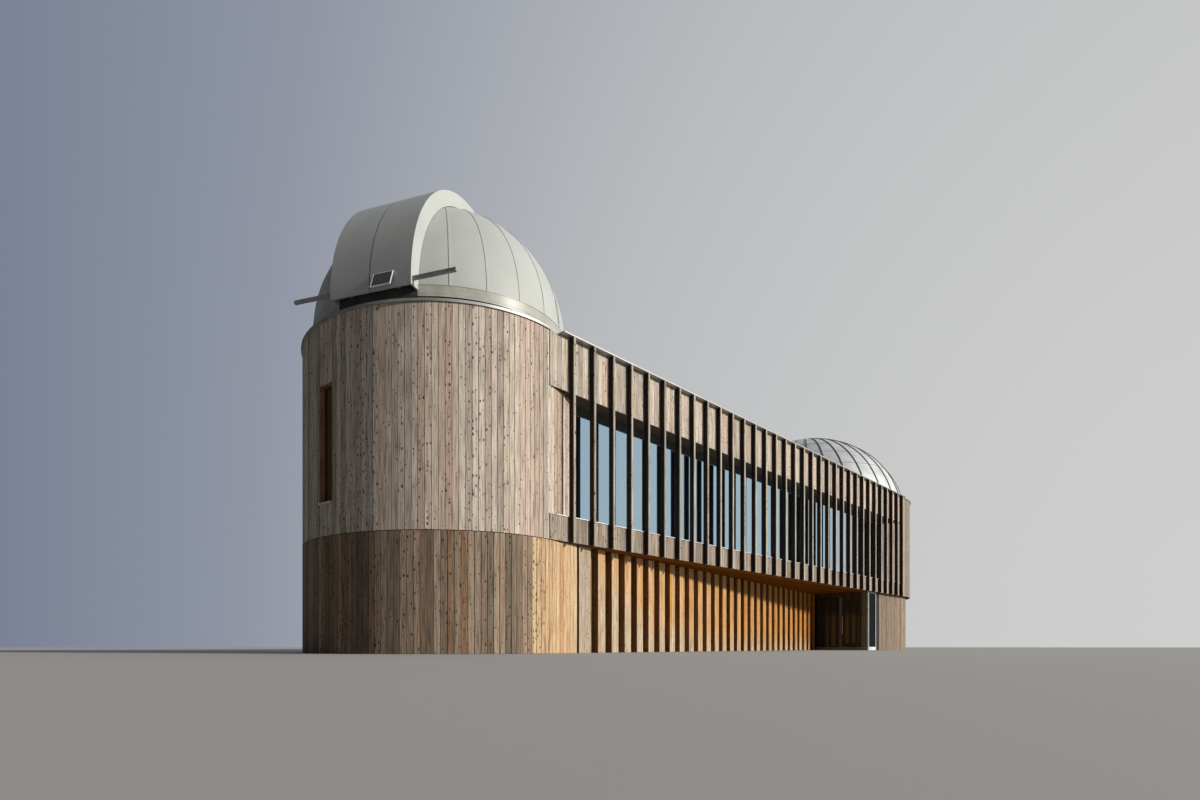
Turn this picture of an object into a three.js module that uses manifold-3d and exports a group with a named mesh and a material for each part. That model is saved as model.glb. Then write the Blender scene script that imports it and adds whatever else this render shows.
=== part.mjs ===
import * as THREE from 'three';
import { mergeVertices } from 'three/addons/utils/BufferGeometryUtils.js';
import Module from 'manifold-3d';

// A timber-clad planetarium and observatory: two round drums joined by a tapering two-storey hall.
// Millimetres. The origin is on the observatory drum's axis at ground level, +X runs along the front
// towards the planetarium drum, +Y to the back and +Z up.

const wasm = await Module();
wasm.setup();
const rad = THREE.MathUtils.degToRad;
const deg = THREE.MathUtils.radToDeg;

// Plan: the front plane touches both drums, and the rear is its mirror about the line of centres.
const NEAR_R = 3500;
const FAR = [26775, 1575];
const FAR_R = NEAR_R + FAR[1];
const TAPER = 2 * deg(Math.atan2(FAR[1], FAR[0]));
const WALL = 250;
const GAP = 0.3;
const ARC_STEP = 4;
const RING_FACETS = 64;

// Levels of the storeys.
const CEILING = 2660;
const CEILING_BOARD = 40;
const FLOOR_TOP = 3170;
const SILL_TOP = 3272;
const LINTEL_BOTTOM = 6250;
const ROOF_BOTTOM = 7000;
const ROOF_TOP = 7300;
const WALL_TOP = 7540;
const COPING_TOP = 7600;
const GROUND_SLAB = 150;

// Facade: cladding, bands behind it, and the recessed window plane.
const CLADDING = 30;
const BAND = 120;
const BAND_FACE = NEAR_R - CLADDING;
const BAND_BACK = BAND_FACE - BAND;
const GLASS_FACE = 3000;
const GLASS_THICKNESS = 26;
const WINDOW_DEPTH = 70;
const WINDOW_BACK = 2890;
const BAND_START = 350;
const BAND_END = 26350;
const BAND_PLATE = 100;
const FIN_COUNT = 33;
const FIN_FIRST = 1134;
const FIN_PITCH = 773.15;
const FIN_WIDTH = 72;
const FIN_FACE = 3650;
const FIN_FOOT = 2640;
const MULLION = 60;
const MULLION_COUNT = 30;
const LAST_MULLION = FIN_FIRST + MULLION_COUNT * FIN_PITCH;
const HEAD_FRAME = 6190;
const WINDOW_ENDS = [1780, 24600];
const ROOF_EDGE = { start: 760, overhang: 5, thickness: 32 };
const COPING_OVERHANG = 35;
const COPING_INSIDE = 10;

// Lower storey: the front batten wall leaves the observatory drum on a tangent, parallel to the rear.
const INSET = 190;
const LOWER_FACE = NEAR_R - INSET;
const LOWER_BACK = LOWER_FACE - WALL;
const LOWER_FAR_R = FAR_R - INSET;
const BATTEN_WALL_LENGTH = 21944;
const BATTEN_RELIEF = 170;
const BATTEN_WALL_BACK = 3100;
const BATTEN_COUNT = 29;
const BATTEN_FIRST = 2336;
const BATTEN_PITCH = 685.75;
const BATTEN_WIDTH = 345;
const CLOSED_BOARDS_END = 1180;
const WIDE_BOARD = [1270, 1810];

// Porch at the far end of the batten wall.
const PORCH_X = 22070;
const PORCH_WALL = 120;
const CORNER_POST = [-LOWER_FACE + 60 + GAP, -3000 + GAP];
const MID_POST = [-2120, -2020];
const HEAD_BEAM = 200;
const LEAF_X = 22100;
const LEAF_DEPTH = 60;
const LEAF_STILE = 90;
const HINGE_AXIS = [22084, -2985];
const HINGE_LEVELS = [400, 2200];
const BAY_BAR = 60;
const BAY_ENDS = { glass: -1000, frame: -800 };
const PANE = [18, 42];
const SIDELIGHT = [22070, 23050];

// Slot window of the observatory drum.
const SLOT_ANGLE = 183.2;
const SLOT_WIDTH = 488;
const SLOT_LEVELS = [3424, 6095];
const SLOT_FRAME = { inset: 30, depth: 70, bar: 40, pane: [20, 44] };

// Observatory dome. Its own x points along the slit, and y to the right hand shutter.
const DOME_R = 3255;
const DOME_Z = 7942;
const DOME_SHEET = 60;
const DOME_FACETS = 48;
const DOME_ROWS = 8;
const BASE_RING = [3000, 3200];
const BASE_RING_TOP = 7800;
const SKIRT_R = 3270;
const SKIRT_TOP = 8020;
const SKIRT_FLANGE = { inner: 3040, outer: 3215, wall: 80, lip: 15, thickness: 40 };
const SLIT_ANGLE = -155.4;
const SLIT_HALF = 950;
const SLIT_BACK = -1250;
const HOOD_HALF = 1016;
const HOOD_R = 3317;
const HOOD_SHEET = 50;
const HOOD_CENTRE = [126, 8009];
const HOOD_FOOT = 7880;
const HOOD_END_ANGLE = 117;
const HOOD_SIDE = 40;
const HOOD_CLEARANCE = { shell: 17, skirt: 14, skirtTop: 8, rail: 8 };
const SEAM = 4;
const RAIL_HALF = 2038;
const RAIL = { inner: 3316, outer: 3386, bottom: 7990, top: 8065 };
const RAIL_BRACKET = { y: 600, half: 40, drop: 30 };

// Planetarium dome.
const BIG_DOME_R = 4865;
const BIG_DOME_Z = 6562;
const BIG_DOME_SHEET = 100;
const BIG_DOME_FACETS = 48;
const BIG_DOME_ROWS = 7;
const BIG_DOME_HOLE = 4600;

// How far a cutting shape runs past what it cuts.
const PAST = 100;

function finish(colour, roughness, metalness = 0) {
  return new THREE.MeshStandardMaterial({ color: colour, roughness, metalness });
}

const weatheredLarch = finish('#8f8375', 0.85);
const freshLarch = finish('#b3763f', 0.8);
const darkTimber = finish('#5a3d28', 0.8);
const concrete = finish('#8e8c87', 0.9);
const roofing = finish('#6c6c6a', 0.9);
const windowMetal = finish('#2e2a27', 0.5, 0.6);
const aluminium = finish('#b9bcbd', 0.4, 0.8);
const glazing = finish('#33434e', 0.08);
const coping = finish('#c3c4c1', 0.45, 0.6);
const domePaint = finish('#9ca39d', 0.45, 0.3);
const whiteMetal = finish('#cfd3d2', 0.4, 0.4);
const darkSteel = finish('#3a3d3f', 0.55, 0.6);

const building = new THREE.Group();

function add(name, geometry, material, parent = building) {
  const mesh = new THREE.Mesh(geometry, material);
  mesh.name = name;
  parent.add(mesh);
  return mesh;
}

// Closed solids for joining and cutting.
function solidOf(geometry) {
  const bare = geometry.clone();
  bare.deleteAttribute('normal');
  bare.deleteAttribute('uv');
  const merged = mergeVertices(bare, 1e-3);
  const vertProperties = Float32Array.from(merged.attributes.position.array);
  const triVerts = Uint32Array.from(merged.index.array);
  return new wasm.Manifold(new wasm.Mesh({ numProp: 3, vertProperties, triVerts }));
}

function geometryOf(solid) {
  const { vertProperties, triVerts } = solid.getMesh();
  const geometry = new THREE.BufferGeometry();
  geometry.setAttribute('position', new THREE.BufferAttribute(Float32Array.from(vertProperties), 3));
  geometry.setIndex(new THREE.BufferAttribute(Uint32Array.from(triVerts), 1));
  return geometry;
}

function cut(geometry, ...tools) {
  return geometryOf(tools.reduce((solid, tool) => solid.subtract(solidOf(tool)), solidOf(geometry)));
}

function join(...geometries) {
  return geometryOf(geometries.map(solidOf).reduce((whole, next) => whole.add(next)));
}

function path(points) {
  return points.map(([x, y]) => new THREE.Vector2(x, y));
}

// A plan outline, with holes, carried up from one level to another.
function prism(outline, bottom, top, holes = []) {
  const shape = new THREE.Shape(path(outline));
  shape.holes = holes.map((hole) => new THREE.Path(path(hole)));
  const options = { depth: top - bottom, bevelEnabled: false };
  return new THREE.ExtrudeGeometry(shape, options).translate(0, 0, bottom);
}

// A section given as [y, z] points, carried along x.
function alongX(section, from, to, holes = []) {
  const shape = new THREE.Shape(path(section));
  shape.holes = holes.map((hole) => new THREE.Path(path(hole)));
  const options = { depth: to - from, bevelEnabled: false };
  const geometry = new THREE.ExtrudeGeometry(shape, options);
  return geometry.rotateX(Math.PI / 2).rotateZ(Math.PI / 2).translate(from, 0, 0);
}

// A section given as [x, z] points, carried along y.
function alongY(section, from, to, holes = []) {
  const shape = new THREE.Shape(path(section));
  shape.holes = holes.map((hole) => new THREE.Path(path(hole)));
  const options = { depth: to - from, bevelEnabled: false };
  return new THREE.ExtrudeGeometry(shape, options).rotateX(Math.PI / 2).translate(0, to, 0);
}

function rectangle(x0, x1, y0, y1) {
  return [[x0, y0], [x1, y0], [x1, y1], [x0, y1]];
}

function block(x0, x1, y0, y1, z0, z1) {
  return new THREE.BoxGeometry(x1 - x0, y1 - y0, z1 - z0)
    .translate((x0 + x1) / 2, (y0 + y1) / 2, (z0 + z1) / 2);
}

function polar(radius, angle, centre = [0, 0]) {
  return [centre[0] + radius * Math.cos(rad(angle)), centre[1] + radius * Math.sin(rad(angle))];
}

// Points of an arc. Its inner points lie on one common grid of angles, so that neighbours share facets.
function arc(radius, from, to, centre = [0, 0], step = ARC_STEP) {
  const low = Math.min(from, to);
  const high = Math.max(from, to);
  const angles = [low];
  for (let k = Math.floor(low / step) + 1; k * step < high - 0.2; k += 1) {
    if (k * step > low + 0.2) {
      angles.push(k * step);
    }
  }
  angles.push(high);
  if (from > to) {
    angles.reverse();
  }
  return angles.map((angle) => polar(radius, angle, centre));
}

function roundWall(inner, outer, from, to, bottom, top, centre = [0, 0]) {
  return prism([...arc(outer, from, to, centre), ...arc(inner, to, from, centre)], bottom, top);
}

function drum(radius, centre = [0, 0], bottom = -100, top = 12000) {
  const fitted = radius / Math.cos(rad(ARC_STEP / 2));
  const geometry = new THREE.CylinderGeometry(fitted, fitted, top - bottom, 360 / ARC_STEP);
  return geometry.rotateX(Math.PI / 2).translate(centre[0], centre[1], (top + bottom) / 2);
}

function ring(inner, outer, bottom, top, facets) {
  const profile = path([[inner, bottom], [outer, bottom], [outer, top], [inner, top], [inner, bottom]]);
  return new THREE.LatheGeometry(profile, facets).rotateX(Math.PI / 2);
}

function mirrored([x, y]) {
  const turn = rad(TAPER);
  return [x * Math.cos(turn) + y * Math.sin(turn), x * Math.sin(turn) - y * Math.cos(turn)];
}

// A point of the batten wall: station along it, and distance from the drum's axis.
function onBattenWall(station, distance) {
  const turn = rad(TAPER);
  return [
    station * Math.cos(turn) + distance * Math.sin(turn),
    station * Math.sin(turn) - distance * Math.cos(turn),
  ];
}

// What is put in this group in the front's own coordinates lands mirrored, at the rear.
const rearSide = new THREE.Group();
rearSide.rotation.z = rad(TAPER);
rearSide.scale.y = -1;
building.add(rearSide);

const battenFrame = new THREE.Group();
battenFrame.rotation.z = rad(TAPER);
building.add(battenFrame);

// Angles at which the window planes and the lower walls meet the drums.
const nearFront = 360 - deg(Math.asin(WINDOW_BACK / NEAR_R));
const nearRear = TAPER - nearFront + 360;
const farFront = deg(Math.asin((WINDOW_BACK + FAR[1]) / FAR_R)) - 180;
const farRear = TAPER - farFront;
const lowerFront = 270 + TAPER;
const lowerRear = TAPER + deg(Math.asin(LOWER_BACK / NEAR_R));
const farTangentRear = 90 + TAPER;

// Outline of the upper storey inside its walls, counter-clockwise.
function upperOutline() {
  const edge = BAND_BACK - GAP;
  const nearEdge = 360 - deg(Math.asin(edge / (NEAR_R + GAP)));
  const farEdge = deg(Math.asin((edge + FAR[1]) / (FAR_R + GAP))) - 180;
  const slack = 0.01;
  return [
    ...arc(NEAR_R - WALL - GAP, nearRear, nearFront),
    ...arc(NEAR_R + GAP, nearFront + slack, nearEdge),
    ...arc(FAR_R + GAP, farEdge, farFront - slack, FAR),
    ...arc(FAR_R - WALL - GAP, farFront, farRear, FAR),
    ...arc(FAR_R + GAP, farRear + slack, TAPER - farEdge, FAR),
    ...arc(NEAR_R + GAP, TAPER - nearEdge + 360, nearRear - slack),
  ];
}

// Outline of the lower storey inside its walls, with the strip under the porch glazing.
function lowerOutline() {
  const porchStation = (PORCH_X - (NEAR_R + GAP) * Math.sin(rad(TAPER))) / Math.cos(rad(TAPER));
  const rearStart = Math.sqrt((NEAR_R + GAP) ** 2 - (LOWER_BACK - GAP) ** 2);
  const slack = 0.01;
  return [
    ...arc(NEAR_R - WALL - GAP, lowerRear - slack, lowerFront),
    onBattenWall(0, BATTEN_WALL_BACK - GAP),
    onBattenWall(BATTEN_WALL_LENGTH + GAP, BATTEN_WALL_BACK - GAP),
    onBattenWall(BATTEN_WALL_LENGTH + GAP, NEAR_R + GAP),
    onBattenWall(porchStation, NEAR_R + GAP),
    [PORCH_X, CORNER_POST[0]],
    [SIDELIGHT[1], CORNER_POST[0]],
    [SIDELIGHT[1], -LOWER_BACK + GAP],
    ...arc(LOWER_FAR_R - WALL - GAP, -90, farTangentRear, FAR),
    mirrored([rearStart, -LOWER_BACK + GAP]),
  ];
}

// Slabs and ceiling.
add('ground_slab', prism(lowerOutline(), 0, GROUND_SLAB), concrete);
add('ceiling_boards', prism(upperOutline(), CEILING, CEILING + CEILING_BOARD - GAP), darkTimber);
add('upper_floor_slab', prism(upperOutline(), CEILING + CEILING_BOARD, FLOOR_TOP - GAP), concrete);

const roofHoles = [
  arc(BASE_RING[0], 0, 360 - 2 * ARC_STEP, [0, 0], 2 * ARC_STEP),
  arc(BIG_DOME_HOLE, 0, 360 - 2 * ARC_STEP, FAR, 2 * ARC_STEP),
];
add('roof_slab', prism(upperOutline(), ROOF_BOTTOM, ROOF_TOP, roofHoles), roofing);

// Round walls, each split into three.
function splitWall(name, inner, outer, from, to, bottom, top, centre, material) {
  const parts = 3;
  const seamAngle = deg(GAP / outer);
  for (let i = 0; i < parts; i += 1) {
    const start = from + ((to - from) * i) / parts + (i > 0 ? seamAngle : 0);
    const end = from + ((to - from) * (i + 1)) / parts;
    add(`${name}_${i + 1}`, roundWall(inner, outer, start, end, bottom, top, centre), material);
  }
}

const lowerTop = CEILING - GAP;
splitWall('near_drum_lower_wall', NEAR_R - WALL, NEAR_R, lowerRear, lowerFront, 0, lowerTop,
  [0, 0], weatheredLarch);
splitWall('far_drum_lower_wall', LOWER_FAR_R - WALL, LOWER_FAR_R, -90, farTangentRear, 0, lowerTop,
  FAR, weatheredLarch);
splitWall('near_drum_upper_wall', NEAR_R - WALL, NEAR_R, nearRear, nearFront, CEILING, WALL_TOP,
  [0, 0], weatheredLarch);
splitWall('far_drum_upper_wall', FAR_R - WALL, FAR_R, farFront, farRear, CEILING, WALL_TOP,
  FAR, weatheredLarch);

// Slot window: cut through the drum, with a slim frame and one pane at its inner side.
const slotWall = building.getObjectByName('near_drum_upper_wall_2');
const slotCut = block(NEAR_R - WALL - PAST, NEAR_R + PAST, -SLOT_WIDTH / 2, SLOT_WIDTH / 2,
  ...SLOT_LEVELS).rotateZ(rad(SLOT_ANGLE));
slotWall.geometry = cut(slotWall.geometry, slotCut);

const slotFrame = new THREE.Group();
slotFrame.rotation.z = rad(SLOT_ANGLE);
building.add(slotFrame);

function rectangularFrame(y0, y1, z0, z1, bar, from, to, foot = bar) {
  const hole = rectangle(y0 + bar, y1 - bar, z0 + foot, z1 - bar);
  return alongX(rectangle(y0, y1, z0, z1), from, to, [hole]);
}

const slotHalf = SLOT_WIDTH / 2 - GAP;
const slotX = NEAR_R - WALL + SLOT_FRAME.inset;
const slotEdge = SLOT_FRAME.bar + GAP;
const slotPaneX = SLOT_FRAME.pane.map((depth) => slotX + depth);
add('slot_window_frame', rectangularFrame(-slotHalf, slotHalf, SLOT_LEVELS[0] + GAP,
  SLOT_LEVELS[1] - GAP, SLOT_FRAME.bar, slotX, slotX + SLOT_FRAME.depth), darkTimber, slotFrame);
add('slot_window_glass', block(...slotPaneX, -slotHalf + slotEdge, slotHalf - slotEdge,
  SLOT_LEVELS[0] + slotEdge + GAP, SLOT_LEVELS[1] - slotEdge - GAP), glazing, slotFrame);

// Front batten wall: closed boards near the drum, then wide upright battens on a recessed wall.
function battenWallOutline() {
  const recess = -NEAR_R + BATTEN_RELIEF;
  const groove = -NEAR_R + 40;
  const outline = [
    [GAP, -NEAR_R],
    [CLOSED_BOARDS_END, -NEAR_R],
    [CLOSED_BOARDS_END, groove],
    [WIDE_BOARD[0], groove],
    [WIDE_BOARD[0], -NEAR_R],
    [WIDE_BOARD[1], -NEAR_R],
    [WIDE_BOARD[1], recess],
  ];
  for (let i = 0; i < BATTEN_COUNT; i += 1) {
    const middle = BATTEN_FIRST + i * BATTEN_PITCH;
    const left = middle - BATTEN_WIDTH / 2;
    const right = middle + BATTEN_WIDTH / 2;
    outline.push([left, recess], [left, -NEAR_R], [right, -NEAR_R], [right, recess]);
  }
  outline.push(
    [BATTEN_WALL_LENGTH, recess],
    [BATTEN_WALL_LENGTH, -BATTEN_WALL_BACK],
    [GAP, -BATTEN_WALL_BACK],
  );
  return outline;
}
add('batten_wall', prism(battenWallOutline(), 0, lowerTop), freshLarch, battenFrame);

// Plain boarded walls of the lower storey, at the front right and along the rear.
add('lower_front_wall', block(SIDELIGHT[1] + GAP, FAR[0] - GAP, -LOWER_FACE, -LOWER_BACK, 0, lowerTop),
  weatheredLarch);
const rearLowerWall = block(NEAR_R / 4, FAR[0] - GAP, -LOWER_FACE, -LOWER_BACK, 0, lowerTop);
add('lower_rear_wall', cut(rearLowerWall, drum(NEAR_R + GAP)), weatheredLarch, rearSide);

// Porch: posts and head beam, a fixed bay, and the hinged leaf.
const porchBack = PORCH_X + PORCH_WALL;
const porchFloor = GROUND_SLAB + GAP;
const beamBottom = lowerTop - HEAD_BEAM;
const knuckle = { radius: 12, height: 40 };

function hingeBarrel(bottom, top) {
  const geometry = new THREE.CylinderGeometry(knuckle.radius, knuckle.radius, top - bottom, 12);
  return geometry.rotateX(Math.PI / 2).translate(...HINGE_AXIS, (bottom + top) / 2);
}

const postHinges = HINGE_LEVELS.flatMap((level) => [
  hingeBarrel(level - knuckle.height, level),
  block(HINGE_AXIS[0] - 5, HINGE_AXIS[0] + 5, CORNER_POST[1] - 10, HINGE_AXIS[1],
    level - knuckle.height, level),
]);
add('porch_corner_post', join(
  block(PORCH_X, porchBack, ...CORNER_POST, porchFloor, lowerTop),
  ...postHinges,
), darkTimber);
add('porch_mid_post', block(PORCH_X, porchBack, ...MID_POST, porchFloor, beamBottom - GAP), darkTimber);

const battenSpace = block(0, BATTEN_WALL_LENGTH + 5 * PAST, -NEAR_R - GAP, -BATTEN_WALL_BACK,
  -PAST, CEILING + PAST).rotateZ(rad(TAPER));
add('porch_head_beam', cut(
  block(PORCH_X, porchBack, CORNER_POST[1] + GAP, BAY_ENDS.frame, beamBottom, lowerTop),
  battenSpace,
), darkTimber);

const bayOutline = rectangle(MID_POST[1] + GAP, BAY_ENDS.frame, porchFloor, beamBottom - GAP);
const bayHole = rectangle(MID_POST[1] + BAY_BAR, BAY_ENDS.glass, porchFloor + BAY_BAR, beamBottom - BAY_BAR);
add('porch_window_frame', cut(
  alongX(bayOutline, LEAF_X, LEAF_X + LEAF_DEPTH, [bayHole]),
  battenSpace,
), aluminium);
const paneX = PANE.map((depth) => LEAF_X + depth);
add('porch_window_glass', block(...paneX, MID_POST[1] + BAY_BAR + GAP, BAY_ENDS.glass - GAP,
  porchFloor + BAY_BAR + GAP, beamBottom - BAY_BAR - GAP), glazing);

const leafY = [CORNER_POST[1] + 6, MID_POST[0] - 10];
const leafZ = [GROUND_SLAB + 15, beamBottom - 10];
const leafHinges = HINGE_LEVELS.flatMap((level) => [
  hingeBarrel(level + GAP, level + knuckle.height),
  block(HINGE_AXIS[0] - 4, LEAF_X + 5, HINGE_AXIS[1] - 4, HINGE_AXIS[1] + 4,
    level + GAP, level + knuckle.height),
]);
add('porch_door_frame', join(
  rectangularFrame(...leafY, ...leafZ, LEAF_STILE, LEAF_X, LEAF_X + LEAF_DEPTH, 2 * LEAF_STILE),
  ...leafHinges,
), darkTimber);
add('porch_door_glass', block(...paneX, leafY[0] + LEAF_STILE + GAP, leafY[1] - LEAF_STILE - GAP,
  leafZ[0] + 2 * LEAF_STILE + GAP, leafZ[1] - LEAF_STILE - GAP), glazing);

// Sidelight in the sunlit front plane.
const sideBar = 50;
const sideHole = rectangle(SIDELIGHT[0] + sideBar, SIDELIGHT[1] - sideBar, 3 * sideBar, lowerTop - sideBar);
add('sidelight_frame', alongY(rectangle(...SIDELIGHT, 0, lowerTop), -LOWER_FACE,
  CORNER_POST[0] - GAP, [sideHole]), aluminium);
add('sidelight_glass', block(SIDELIGHT[0] + sideBar + GAP, SIDELIGHT[1] - sideBar - GAP,
  ...PANE.map((depth) => -LOWER_FACE + depth), 3 * sideBar + GAP, lowerTop - sideBar - GAP), glazing);

// Upper facade. The same pieces serve the front and, mirrored, the rear.
function facade(side, parent) {
  const tools = () => [drum(NEAR_R + GAP), drum(FAR_R + GAP, FAR)];
  const lintelTop = ROOF_BOTTOM - GAP;
  const lintel = [
    [-BAND_FACE, LINTEL_BOTTOM],
    [-WINDOW_BACK, LINTEL_BOTTOM],
    [-WINDOW_BACK, lintelTop],
    [-WINDOW_BACK - BAND_PLATE, lintelTop],
    [-WINDOW_BACK - BAND_PLATE, LINTEL_BOTTOM + BAND_PLATE],
    [-BAND_BACK, LINTEL_BOTTOM + BAND_PLATE],
    [-BAND_BACK, WALL_TOP],
    [-BAND_FACE, WALL_TOP],
  ];
  const lintelLengths = [
    ['lintel_band', BAND_START, LAST_MULLION],
    ['lintel_band_end', LAST_MULLION + GAP, BAND_END],
  ];
  for (const [part, from, to] of lintelLengths) {
    add(`${side}_${part}`, cut(alongX(lintel, from, to), ...tools()), darkTimber, parent);
  }

  const sill = [
    [-BAND_FACE, CEILING],
    [-BAND_BACK, CEILING],
    [-BAND_BACK, FLOOR_TOP],
    [-WINDOW_BACK, FLOOR_TOP],
    [-WINDOW_BACK, SILL_TOP],
    [-BAND_FACE, SILL_TOP],
  ];
  add(`${side}_sill_band`, cut(alongX(sill, BAND_START, BAND_END), ...tools()), darkTimber, parent);

  const sheets = [[CEILING, SILL_TOP], [LINTEL_BOTTOM, WALL_TOP]].map(([bottom, top]) => (
    block(BAND_START, BAND_END, -NEAR_R, -BAND_FACE - GAP, bottom, top)
  ));
  const fins = Array.from({ length: FIN_COUNT }, (_, i) => {
    const x = FIN_FIRST + i * FIN_PITCH;
    const back = -NEAR_R + CLADDING / 3;
    return block(x - FIN_WIDTH / 2, x + FIN_WIDTH / 2, -FIN_FACE, back, FIN_FOOT, WALL_TOP);
  });
  add(`${side}_fin_screen`, cut(join(...sheets, ...fins), ...tools()), weatheredLarch, parent);

  const frameBottom = SILL_TOP + GAP;
  const frameTop = LINTEL_BOTTOM - GAP;
  const glassBack = -GLASS_FACE + GLASS_THICKNESS;
  const frameY = [glassBack + GAP, glassBack + GAP + WINDOW_DEPTH];
  const bars = [
    block(...WINDOW_ENDS, ...frameY, frameBottom, frameBottom + MULLION),
    block(...WINDOW_ENDS, ...frameY, HEAD_FRAME, frameTop),
    block(WINDOW_ENDS[0], FIN_FIRST + FIN_PITCH + MULLION, ...frameY, frameBottom, frameTop),
    block(LAST_MULLION - MULLION / 2, WINDOW_ENDS[1], ...frameY, frameBottom, frameTop),
  ];
  for (let x = FIN_FIRST + 2 * FIN_PITCH; x < LAST_MULLION - 1; x += FIN_PITCH) {
    bars.push(block(x - MULLION / 2, x + MULLION / 2, ...frameY, frameBottom, frameTop));
  }
  add(`${side}_window_frame`, cut(join(...bars), ...tools()), windowMetal, parent);

  add(`${side}_window_glass`, cut(
    block(...WINDOW_ENDS, -GLASS_FACE, glassBack, frameBottom, frameTop),
    ...tools(),
  ), glazing, parent);

  add(`${side}_roof_edge`, cut(
    block(ROOF_EDGE.start, BAND_END, -FIN_FACE - ROOF_EDGE.overhang, -BAND_BACK, WALL_TOP + GAP,
      WALL_TOP + ROOF_EDGE.thickness),
    drum(NEAR_R + COPING_OVERHANG + GAP),
    drum(FAR_R + COPING_OVERHANG + GAP, FAR),
  ), coping, parent);
}
facade('front', building);
facade('rear', rearSide);

// Metal copings on the drums.
function drumCoping(radius, from, to, centre) {
  const inner = radius - WALL - COPING_INSIDE;
  return roundWall(inner, radius + COPING_OVERHANG, from, to, WALL_TOP + GAP, COPING_TOP, centre);
}
add('near_drum_coping', drumCoping(NEAR_R, nearRear, nearFront, [0, 0]), coping);
add('far_drum_coping', drumCoping(FAR_R, farFront, farRear, FAR), coping);

// A spherical shell above a level, about the z axis, with its foot cut flat.
function domeShell(radius, sheet, centreZ, footZ, facets, rows) {
  const curve = (r) => {
    const low = Math.asin((footZ - centreZ) / r);
    return Array.from({ length: rows + 1 }, (_, i) => {
      const angle = low + ((Math.PI / 2 - low) * i) / rows;
      return [i === rows ? 0 : r * Math.cos(angle), centreZ + r * Math.sin(angle)];
    });
  };
  const profile = [...curve(radius - sheet).reverse(), ...curve(radius)];
  return new THREE.LatheGeometry(path(profile), facets).rotateX(Math.PI / 2);
}

add('planetarium_dome', domeShell(BIG_DOME_R, BIG_DOME_SHEET, BIG_DOME_Z, ROOF_TOP + GAP,
  BIG_DOME_FACETS, BIG_DOME_ROWS), whiteMetal).position.set(...FAR, 0);
add('dome_base_ring', ring(...BASE_RING, ROOF_TOP + GAP, BASE_RING_TOP, RING_FACETS), darkSteel);

// Turning observatory dome.
const dome = new THREE.Group();
dome.rotation.z = rad(SLIT_ANGLE);
building.add(dome);

const seat = BASE_RING_TOP + 0.5;
const skirtSection = path([
  [SKIRT_FLANGE.inner, seat],
  [SKIRT_FLANGE.outer, seat],
  [SKIRT_FLANGE.outer, seat + SKIRT_FLANGE.lip],
  [SKIRT_R, seat + SKIRT_FLANGE.lip],
  [SKIRT_R, SKIRT_TOP],
  [SKIRT_R - SKIRT_FLANGE.wall, SKIRT_TOP],
  [SKIRT_R - SKIRT_FLANGE.wall, seat + SKIRT_FLANGE.thickness],
  [SKIRT_FLANGE.inner, seat + SKIRT_FLANGE.thickness],
  [SKIRT_FLANGE.inner, seat],
]);
add('dome_skirt', new THREE.LatheGeometry(skirtSection, RING_FACETS).rotateX(Math.PI / 2), domePaint, dome);

add('dome_shell', cut(
  domeShell(DOME_R, DOME_SHEET, DOME_Z, SKIRT_TOP + GAP, DOME_FACETS, DOME_ROWS),
  block(SLIT_BACK, DOME_R + PAST, -SLIT_HALF, SLIT_HALF, SKIRT_TOP - PAST, DOME_Z + DOME_R + PAST),
), domePaint, dome);

const railBrackets = [-RAIL_BRACKET.y, RAIL_BRACKET.y].map((y) => (
  block(SKIRT_R - PAST, (RAIL.inner + RAIL.outer) / 2, y - RAIL_BRACKET.half, y + RAIL_BRACKET.half,
    RAIL.bottom - RAIL_BRACKET.drop, SKIRT_TOP)
));
add('dome_front_rail', cut(
  join(block(RAIL.inner, RAIL.outer, -RAIL_HALF, RAIL_HALF, RAIL.bottom, RAIL.top), ...railBrackets),
  ring(SKIRT_R - 3 * PAST, SKIRT_R + GAP, RAIL.bottom - PAST, SKIRT_TOP + PAST, RING_FACETS),
), darkSteel, dome);

// The hood's section seen from the side: an arc from its foot over the top, closed to its centre.
function hoodOutline(radius, end) {
  const low = deg(Math.asin((HOOD_FOOT - HOOD_CENTRE[1]) / radius));
  return [...arc(radius, low, end, HOOD_CENTRE, 6), HOOD_CENTRE, [HOOD_CENTRE[0], HOOD_FOOT]];
}

// One hood shutter, on the +y side of the seam. Its side and end plates stand just clear of the dome.
function hoodShutter() {
  const body = alongY(hoodOutline(HOOD_R, HOOD_END_ANGLE), SEAM, HOOD_HALF);
  const sheetAngle = deg(HOOD_SHEET / HOOD_R);
  const inner = hoodOutline(HOOD_R - HOOD_SHEET, HOOD_END_ANGLE - sheetAngle);
  const open = HOOD_FOOT - PAST;
  const hollow = [[inner[0][0], open], ...inner.slice(0, -1), [HOOD_CENTRE[0], open]];
  const inside = alongY(hollow, SEAM - PAST, HOOD_HALF - HOOD_SIDE);
  const ball = new THREE.SphereGeometry(DOME_R + HOOD_CLEARANCE.shell, 60, 30)
    .rotateX(Math.PI / 2).translate(0, 0, DOME_Z);
  const skirtClear = SKIRT_R + HOOD_CLEARANCE.skirt;
  const skirtSpace = new THREE.CylinderGeometry(skirtClear, skirtClear, SKIRT_R, 96)
    .rotateX(Math.PI / 2).translate(0, 0, SKIRT_TOP + HOOD_CLEARANCE.skirtTop - SKIRT_R / 2);
  const notch = block(RAIL.inner - HOOD_CLEARANCE.rail, RAIL.outer + HOOD_CLEARANCE.rail, 0,
    HOOD_HALF + PAST, RAIL.bottom - HOOD_CLEARANCE.rail, RAIL.top + GAP);
  return cut(body, inside, ball, skirtSpace, notch);
}

add('shutter_right', hoodShutter(), domePaint, dome);
const leftHand = new THREE.Group();
leftHand.scale.y = -1;
dome.add(leftHand);
add('shutter_left', hoodShutter(), domePaint, leftHand);

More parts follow.
